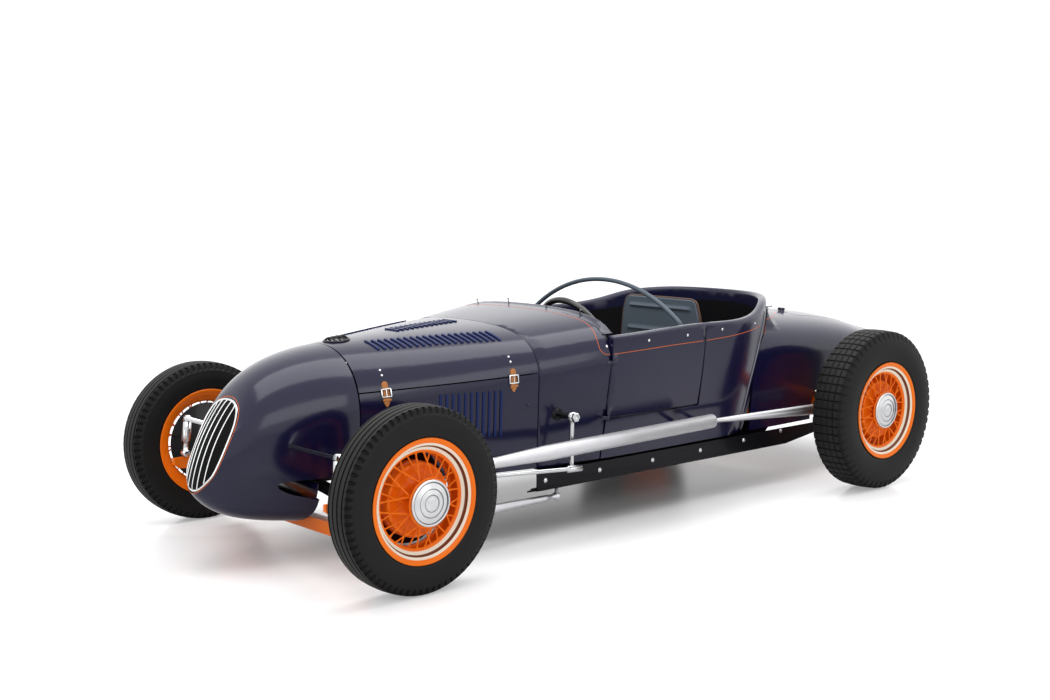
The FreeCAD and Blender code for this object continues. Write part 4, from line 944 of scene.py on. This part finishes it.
# Small hardware: turned heads that stand on the panels.
domeStud = ((-0.002, 0.0062), (0.0022, 0.0062), (0.0040, 0.0046), (0.0050, 0.0026), (0.0052, 0.0002))
tallPost = ((-0.006, 0.0050), (0.0022, 0.0050), (0.0035, 0.0027), (0.0190, 0.0025), (0.0200, 0.0040),
            (0.0230, 0.0040), (0.0245, 0.0022), (0.0247, 0.0002))
panBolt = ((-0.002, 0.0095), (0.0012, 0.0095), (0.0020, 0.0074), (0.0042, 0.0060), (0.0052, 0.0030),
           (0.0053, 0.0002))
studPlaces = {
    "doorTop": ((-1348, 572, 766), (-1586, 570, 770)),
    "tubSide": ((-1812, 565, 779), (-2070, 532, 784)),
    "cowlSide": ((-1134, 546, 758),),
    "cowlPost": ((-1178, 120, 883), (-1178, 328, 868)),
    "rimPost": ((-2255, 418, 868), (-2310, 398, 878)),
    "hoodSide": ((-772, 467, 545),),
    "panSide": ((-856, 478, 232), (-1159, 478, 233), (-1475, 478, 233), (-1780, 478, 237), (-2073, 478, 246),
                (-2336, 478, 258)),
}


def studsOn(name, node, group, profile, material):
    places, outwards = landing([node], bothSides(placed(studPlaces[group])))
    meshPiece(name, standing(profile, places, outwards, sides=14), material, "chassis", 35.0)


studsOn("tub_studs", "body_tub", "tubSide", domeStud, chrome)
studsOn("cowl_studs", "cowl", "cowlSide", domeStud, chrome)
studsOn("rim_posts", "turtle_deck", "rimPost", tallPost, darkSteel)
studsOn("hood_side_buttons", "hood_sides", "hoodSide", domeStud, bodyPaint)
studsOn("pan_bolts", "belly_pan", "panSide", panBolt, chrome)
for side, sign in (("left", 1), ("right", -1)):
    places, outwards = landing([f"door_{side}"], placed(studPlaces["doorTop"]) * [1, sign, 1])
    studs = standing(domeStud, places, outwards, sides=14)
    meshPiece(f"door_studs_{side}", studs, chrome, f"door_{side}", 35.0)


# Hood straps: tan leather with a pointed tip, a square buckle and two snaps.
strapShape = {
    "width": 0.025,
    "thick": 0.0036,
    "buckleWidth": 0.036,
    "buckleHeight": 0.031,
    "wire": 0.0030,
    "tipLength": 0.016,
    "endLength": 0.006,
    "prongWire": 0.0019,
    "loopWire": 0.0042,
    "loopBelow": 0.027,
    "lift": (0.0012, 0.0058),  # of the leather and of the buckle
    "corners": ((-1, -1), (-0.94, -1), (0.94, -1), (1, -0.94), (1, 0.94), (0.94, 1), (-0.94, 1), (-1, 0.94)),
}
strapPlaces = {
    "front": {"x": -209, "line": ((303, 578), (298, 630), (283, 672)), "snaps": ((259, 713), (271, 694))},
    "rear": {"x": -707, "line": ((456, 603), (455, 653), (449, 694)), "snaps": ((426, 738), (437, 719))},
}
snapHead = ((-0.001, 0.0048), (0.0014, 0.0048), (0.0026, 0.0038), (0.0032, 0.0018), (0.0033, 0.0002))
strapParts, buckleParts, snapParts = [], [], []
for places in strapPlaces.values():
    for sign in (1, -1):
        raw = placed([(places["x"], sign * y, z) for y, z in places["line"]])  # tip, buckle, top
        path, normals = landing(["hood_sides", "hood_top"], curveThrough(raw, 14))
        normals = unit(np.gradient(np.cumsum(normals, 0), axis=0))  # each evened out with its neighbours
        run = np.r_[0, np.cumsum(np.linalg.norm(np.diff(path, axis=0), axis=1))]
        pointed = np.clip(run / strapShape["tipLength"], 0.04, 1.0)**0.7
        blunt = np.clip((run[-1] - run) / strapShape["endLength"], 0.55, 1.0)
        strapParts.append(strip(path + normals * strapShape["lift"][0], normals,
                                strapShape["width"] * pointed * blunt, strapShape["thick"]))
        middle = int(np.abs(path[:, 2] - raw[1][2]).argmin())
        out = normals[middle]
        rise = path[middle + 2] - path[middle - 2]
        rise /= np.linalg.norm(rise)
        across = np.cross(rise, out)
        corner = np.array(strapShape["corners"]) / 2
        centre = path[middle] + out * strapShape["lift"][1]
        ring = (centre + across * corner[:, :1] * strapShape["buckleWidth"]
                + rise * corner[:, 1:] * strapShape["buckleHeight"])
        buckleParts.append(tube(ring, strapShape["wire"], sides=8, flat=0.8, up=out, closed=True))
        prong = centre + rise * np.linspace(-0.5, 0.42, 8)[:, None] * strapShape["buckleHeight"]
        buckleParts.append(tube(prong + out * 0.001, strapShape["prongWire"], sides=6, flat=0.9, up=out))
        loop = centre - out * 0.0012 - rise * strapShape["loopBelow"]
        loop = loop + across * np.linspace(-0.45, 0.45, 8)[:, None] * strapShape["buckleWidth"]
        strapParts.append(tube(loop, strapShape["loopWire"], sides=8, flat=0.5, up=out))
        raw = placed([(places["x"], sign * y, z) for y, z in places["snaps"]])
        heads, outwards = landing(["hood_top"], raw)
        snapParts += standing(snapHead, heads, outwards, sides=14)
strapPiece = meshPiece("hood_strap_leather", strapParts, tanLeather, "hood", 40.0)
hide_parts("hood_straps")
meshPiece("hood_buckles", buckleParts, chrome, "hood", 40.0)
meshPiece("hood_snaps", snapParts, chrome, "hood", 40.0)

# Low vent on the hood: a rim that follows the panel, a black floor and arched fins across it.
ventShape = {
    "centre": (-188, 0, 811),
    "radius": 50.0,
    "fins": (-33.0, -13.0, 7.0, 27.0),
    "arch": 0.011,
    "rimWire": 0.0048,
    "finWire": 0.0046,
    "floor": ((-0.004, 0.048), (0.0012, 0.048), (0.0012, 0.0002)),
}


def onHood(x, y):
    middle = ventShape["centre"]
    return landing(["hood_top"], placed(np.stack([middle[0] + x, middle[1] + y, middle[2] + 0 * x], -1)))


turn = fullTurn(48)
ventRing, normals = onHood(ventShape["radius"] * np.cos(turn), ventShape["radius"] * np.sin(turn))
ventParts = [tube(ventRing + normals * 0.002, ventShape["rimWire"], sides=8, closed=True)]
ventParts += standing(ventShape["floor"], *onHood(np.zeros(1), np.zeros(1)), sides=48)
for offset in ventShape["fins"]:
    reach = math.sqrt(ventShape["radius"]**2 - offset**2) - 2.0
    y = np.linspace(-reach, reach, 14)
    path, normals = onHood(offset + 0 * y, y)
    rise = 0.002 + ventShape["arch"] * (1 - (y / reach)**2)
    path = path + normals * rise[:, None]
    ventParts.append(tube(path, ventShape["finWire"], sides=8, flat=0.9, up=(1, 0, 0)))
vent = meshPiece("hood_vent_fins", ventParts, finPaint, "hood", 45.0)
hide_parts("hood_vent")

# Half-round bead down each rear corner of the body, where the deck meets the tub; its pale grey is a painted
# reflection along it.
beadShape = {
    "line": ((-2222, 476, 822), (-2206, 482, 797), (-2181, 489, 752), (-2152, 495, 700), (-2130, 499, 647),
             (-2108, 499, 585), (-2088, 497, 523), (-2072, 489, 450), (-2061, 478, 372)),
    "radius": 0.0055,
}
beadParts = []
for turn in (list, flipped):
    path, normals = landing(["body_tub", "turtle_deck"], curveThrough(placed(turn(beadShape["line"])), 8))
    beadParts.append(tube(path, beadShape["radius"], sides=8, flat=0.8, up=(1, 0, 0)))
meshPiece("corner_beads", beadParts, beadReflectionPaint, "chassis", 45.0)


# Rings on the rear rods and the nut on the pitman arm.
ringShape = {"places": ((-1678, 601, 392), (-1664, 601, 392)), "radius": 0.0125, "wire": 0.0048}
turn = fullTurn(32)
around = ringShape["radius"] * np.stack([0 * turn, np.cos(turn), np.sin(turn)], -1)
rings = [tube(spot + around, ringShape["wire"], up=(1, 0, 0), closed=True)
         for spot in bothSides(placed(ringShape["places"]))]
meshPiece("rear_rod_rings", rings, brass, "chassis", 50.0)
hexNut = ((-0.004, 0.0200), (0.0095, 0.0200), (0.0120, 0.0180), (0.0120, 0.0130), (0.0060, 0.0120),
          (0.0060, 0.0002))
pitmanNut = standing(hexNut, placed([(-905, 594, 497)]), [(0, 1, 0)], sides=6)
meshPiece("pitman_nut", pitmanNut, chrome, "pitman_arm", 20.0)
print("hardware, straps, vent and beads are made")


# Seat back: a pressed panel whose two ribs are rounded ridges that fade at their ends.
seatShape = {
    "middle": -2025.0,
    "thick": 11.0,
    "ribs": (825.0, 715.0),
    "ribRise": 9.0,
    "ribWidth": 8.0,
    "outline": ((262, 472), (262, 560), (258, 680), (248, 780), (240, 812), (226, 852), (212, 864),
                (190, 871)),
    "legs": {"side": 200, "bottom": 411.5, "top": 490, "radius": 0.012},
    "edging": 0.0058,
}


def pressedPanel():
    # rows climb in z; each row goes across the front (with ribs) and back behind; depth shrinks at the rim
    half, z = curveThrough(seatShape["outline"], 16).T[:, :, None]
    share = np.linspace(-1, 1, 61)
    y = half * share
    rim = np.sqrt(np.clip(1 - np.clip((np.abs(share) - 0.965) / 0.035, 0, 1)**2, 0.02, 1))[None, :]
    rim = rim * np.sqrt(np.clip((z[-1] - z) / 6.0, 0.02, 1))
    fade = np.clip((half * 0.84 - np.abs(y)) / 14.0, 0, 1)
    ribs = sum(np.exp(-((z - level) / seatShape["ribWidth"])**2) for level in seatShape["ribs"]) * fade
    front = seatShape["middle"] + seatShape["thick"] * rim + seatShape["ribRise"] * ribs
    back = seatShape["middle"] - seatShape["thick"] * rim + 0 * y
    seen, hidden = [np.stack([x, y, z + 0 * y], -1) for x in (front, back)]
    return loft(placed(np.concatenate([seen, hidden[:, ::-1]], 1)))


leg = seatShape["legs"]
heights = np.linspace(leg["bottom"], leg["top"], 6)
legs = [tube(placed([(seatShape["middle"], sign * leg["side"], z) for z in heights]), leg["radius"], sides=12,
             up=(1, 0, 0)) for sign in (1, -1)]
seatPanel = meshPiece("seat_panel", [pressedPanel()] + legs, greyPaint, "chassis", 40.0)
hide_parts("seat_back")
edge = curveThrough(seatShape["outline"], 8)
edge = np.vstack([edge, (edge * [-1, 1])[::-1][1:]])
edgePath = placed(np.stack([seatShape["middle"] + 0 * edge[:, 0], edge[:, 0], edge[:, 1]], -1))
edging = tube(edgePath, seatShape["edging"], up=(1, 0, 0))
meshPiece("seat_edging", [edging], brownLeather, "chassis", 60.0)


# Cowl lip: the cowl's rear edge rolled back and down over the cockpit; the roll flattens at the doors.
lipShape = {
    "edge": ((0, 885), (106, 883.9), (211, 879.7), (254, 876.6), (300, 872.6), (355, 864.0), (400, 854.0),
             (440, 841.8), (478, 825.5), (503, 808.0), (514, 803.4)),
    "start": -1141.0,
    "section": ((0, 0.2), (12, 0.2), (24, -2.0), (36, -6.0), (44, -8.0), (49, -6.0), (50, -1.5), (46, 0.5),
                (36, 0.0), (24, 3.0), (12, 4.8), (0, 4.6)),
    "widths": ((845, 880), (1.0, 0.9)),  # by height
    "flare": ((806, 842), (0.1, 1.0)),
}


def cowlLip():
    # section (back, in) carried round the edge: x = start - back * width, and y and z go in along the
    # edge's normal by in * width, where what lies below the edge is scaled by the flare
    half = curveThrough(lipShape["edge"], 8)
    edge = np.vstack([(half * [-1, 1])[:0:-1], half])
    run = unit(np.gradient(edge, axis=0))
    inward = np.stack([run[:, 1], -run[:, 0]], 1)
    width = np.interp(edge[:, 1], *lipShape["widths"])[:, None]
    flare = np.interp(edge[:, 1], *lipShape["flare"])[:, None]
    back, deep = curveThrough(lipShape["section"], 3).T[:, None]
    x = lipShape["start"] - back * width
    rise = np.where(deep < 0, deep * flare, deep)
    yz = edge[:, None] + inward[:, None] * (rise * width)[:, :, None]
    return loft(placed(np.concatenate([x[..., None], yz], -1)))


meshPiece("cowl_lip", [cowlLip()], bodyPaint, "chassis", 50.0)
posts = bothSides(placed(studPlaces["cowlPost"]))
leaning = posts * [0, 1, 1] - [0, 0, 0.35]  # away from a line along the car, 0.35 m up
posts = standing(tallPost, posts, leaning, sides=14)
meshPiece("cowl_posts", posts, darkSteel, "chassis", 35.0)

# Gauges on the dash: bezel, pale dial, ticks and a needle; the dials carry no words.
gaugeShape = {
    "dials": ((72, 805, 41), (-72, 805, 41), (172, 800, 26), (-172, 800, 26), (248, 796, 26),
              (-248, 796, 26)),
    "face": -1116.0,
    "ticks": 21,
    "tickReach": (0.79, 0.72, 0.93),  # start of a short and of a long one, and the end
    "sweep": 4.7,
    "needleFrom": -1.9,
    "needleStep": 0.5,
}


def dialTube(spot, radius, angle, lift, reach, wire, sides):
    # a straight mark on a dial: from and to are shares of its radius, at an angle from the top
    out = np.array([0.0, math.sin(angle), math.cos(angle)])
    path = spot + [-lift, 0, 0] + out * radius * np.linspace(*reach)[:, None]
    return tube(path, wire, sides=sides, flat=0.5, up=(1, 0, 0))


bezels, dials, marks, needles = [], [], [], []
for k, (y, z, size) in enumerate(gaugeShape["dials"]):
    r = size / 1000
    spot = placed([(gaugeShape["face"], y, z)])
    bezel = ((-0.001, r), (0.003, r), (0.006, r - 0.0015), (0.007, r - 0.0035), (0.0060, r - 0.0050),
             (0.0035, r - 0.0055))
    bezels += standing(bezel, spot, [(-1, 0, 0)], sides=40)
    dials += standing(((0.0, r - 0.004), (0.0032, r - 0.004), (0.0034, 0.0003)), spot, [(-1, 0, 0)], sides=40)
    short, long, stop = gaugeShape["tickReach"]
    turn = np.linspace(-gaugeShape["sweep"] / 2, gaugeShape["sweep"] / 2, gaugeShape["ticks"])
    for j, angle in enumerate(turn):
        start = short if j % 5 else long
        marks.append(dialTube(spot[0], r - 0.005, angle, 0.0036, (start, stop, 3), 0.0006, 4))
    angle = gaugeShape["needleFrom"] + gaugeShape["needleStep"] * k
    wire = np.linspace(0.0012, 0.0005, 5)
    needles.append(dialTube(spot[0], r - 0.005, angle, 0.0050, (-0.15, 0.8, 5), wire, 5))
meshPiece("gauge_bezels", bezels, chrome, "chassis", 40.0)
meshPiece("gauge_dials", dials, dialWhite, "chassis", 40.0)
meshPiece("gauge_ticks", marks, blackSatin, "chassis", 40.0)
meshPiece("gauge_needles", needles, orangePaint, "chassis", 40.0)
buttonShape = ((0.008, 0.0325), (0.0135, 0.0325), (0.0160, 0.0300), (0.0165, 0.0240), (0.0200, 0.0200),
               (0.0222, 0.0100), (0.0225, 0.0003))
columnLean = math.radians(21.5)
columnOut = (-math.cos(columnLean), 0, math.sin(columnLean))
button = standing(buttonShape, placed([(-1459, 0, 702)]), [columnOut], sides=36)
meshPiece("steering_wheel_button", button, chrome, "steering_wheel", 30.0)
print("cowl lip, gauges and wheel button are made")


# Seat cushion: each slice across the car is a squared loop in (x, z); its top is crowned and drawn down
# at the sewn channels, its sides pull in between the corners, and it lies flat on the floor.
cushionShape = {
    "x": (-1996.0, -1563.0),
    "z": (412.0, 527.0),
    "half": 248.0,
    "channels": 7,
    "channelDepth": 7.0,
    "crown": 13.0,
    "pull": 7.0,
    "round": 0.38,
    "rows": 113,
    "columns": 96,
}


def squared(wave):
    return np.sign(wave) * np.abs(wave)**cushionShape["round"]


def cushionSlices():
    # share runs across the car and t round a slice: (x, z) = middle + half size * (cos t, sin t) to a power
    share = np.sin(np.linspace(-np.pi / 2, np.pi / 2, cushionShape["rows"]))[:, None]
    end = np.clip(1 - np.abs(share)**14, 0.001, 1)**0.35
    t = fullTurn(cushionShape["columns"])
    cx, cz = squared(np.cos(t)), squared(np.sin(t))
    low, high = cushionShape["z"]
    rear, front = cushionShape["x"]
    middle, reach = (rear + front) / 2, (front - rear) / 2
    pulled = reach - cushionShape["pull"] * (1 - share**2)
    x = middle + pulled * (0.93 + 0.07 * end) * cx
    z = (low + high) / 2 + (high - low) / 2 * (0.35 + 0.65 * end) * cz
    across = np.clip(1 - (x - middle)**2 / reach**2, 0, 1)
    sag = cushionShape["crown"] * (1 - (1 - share**2) * across)
    seam = np.abs(np.sin(np.pi * cushionShape["channels"] * (share + 1) / 2))**0.55
    drop = sag + cushionShape["channelDepth"] * (1 - seam) * np.clip(across * 6, 0, 1)
    z = np.maximum(z - np.clip(cz, 0, 1) * drop, low)
    return loft(placed(np.stack([x, cushionShape["half"] * share + 0 * x, z], -1)))


cushion = meshPiece("seat_pad", [cushionSlices()], blackLeather, "chassis", 75.0)
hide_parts("seat_cushion")
print("seat is made")
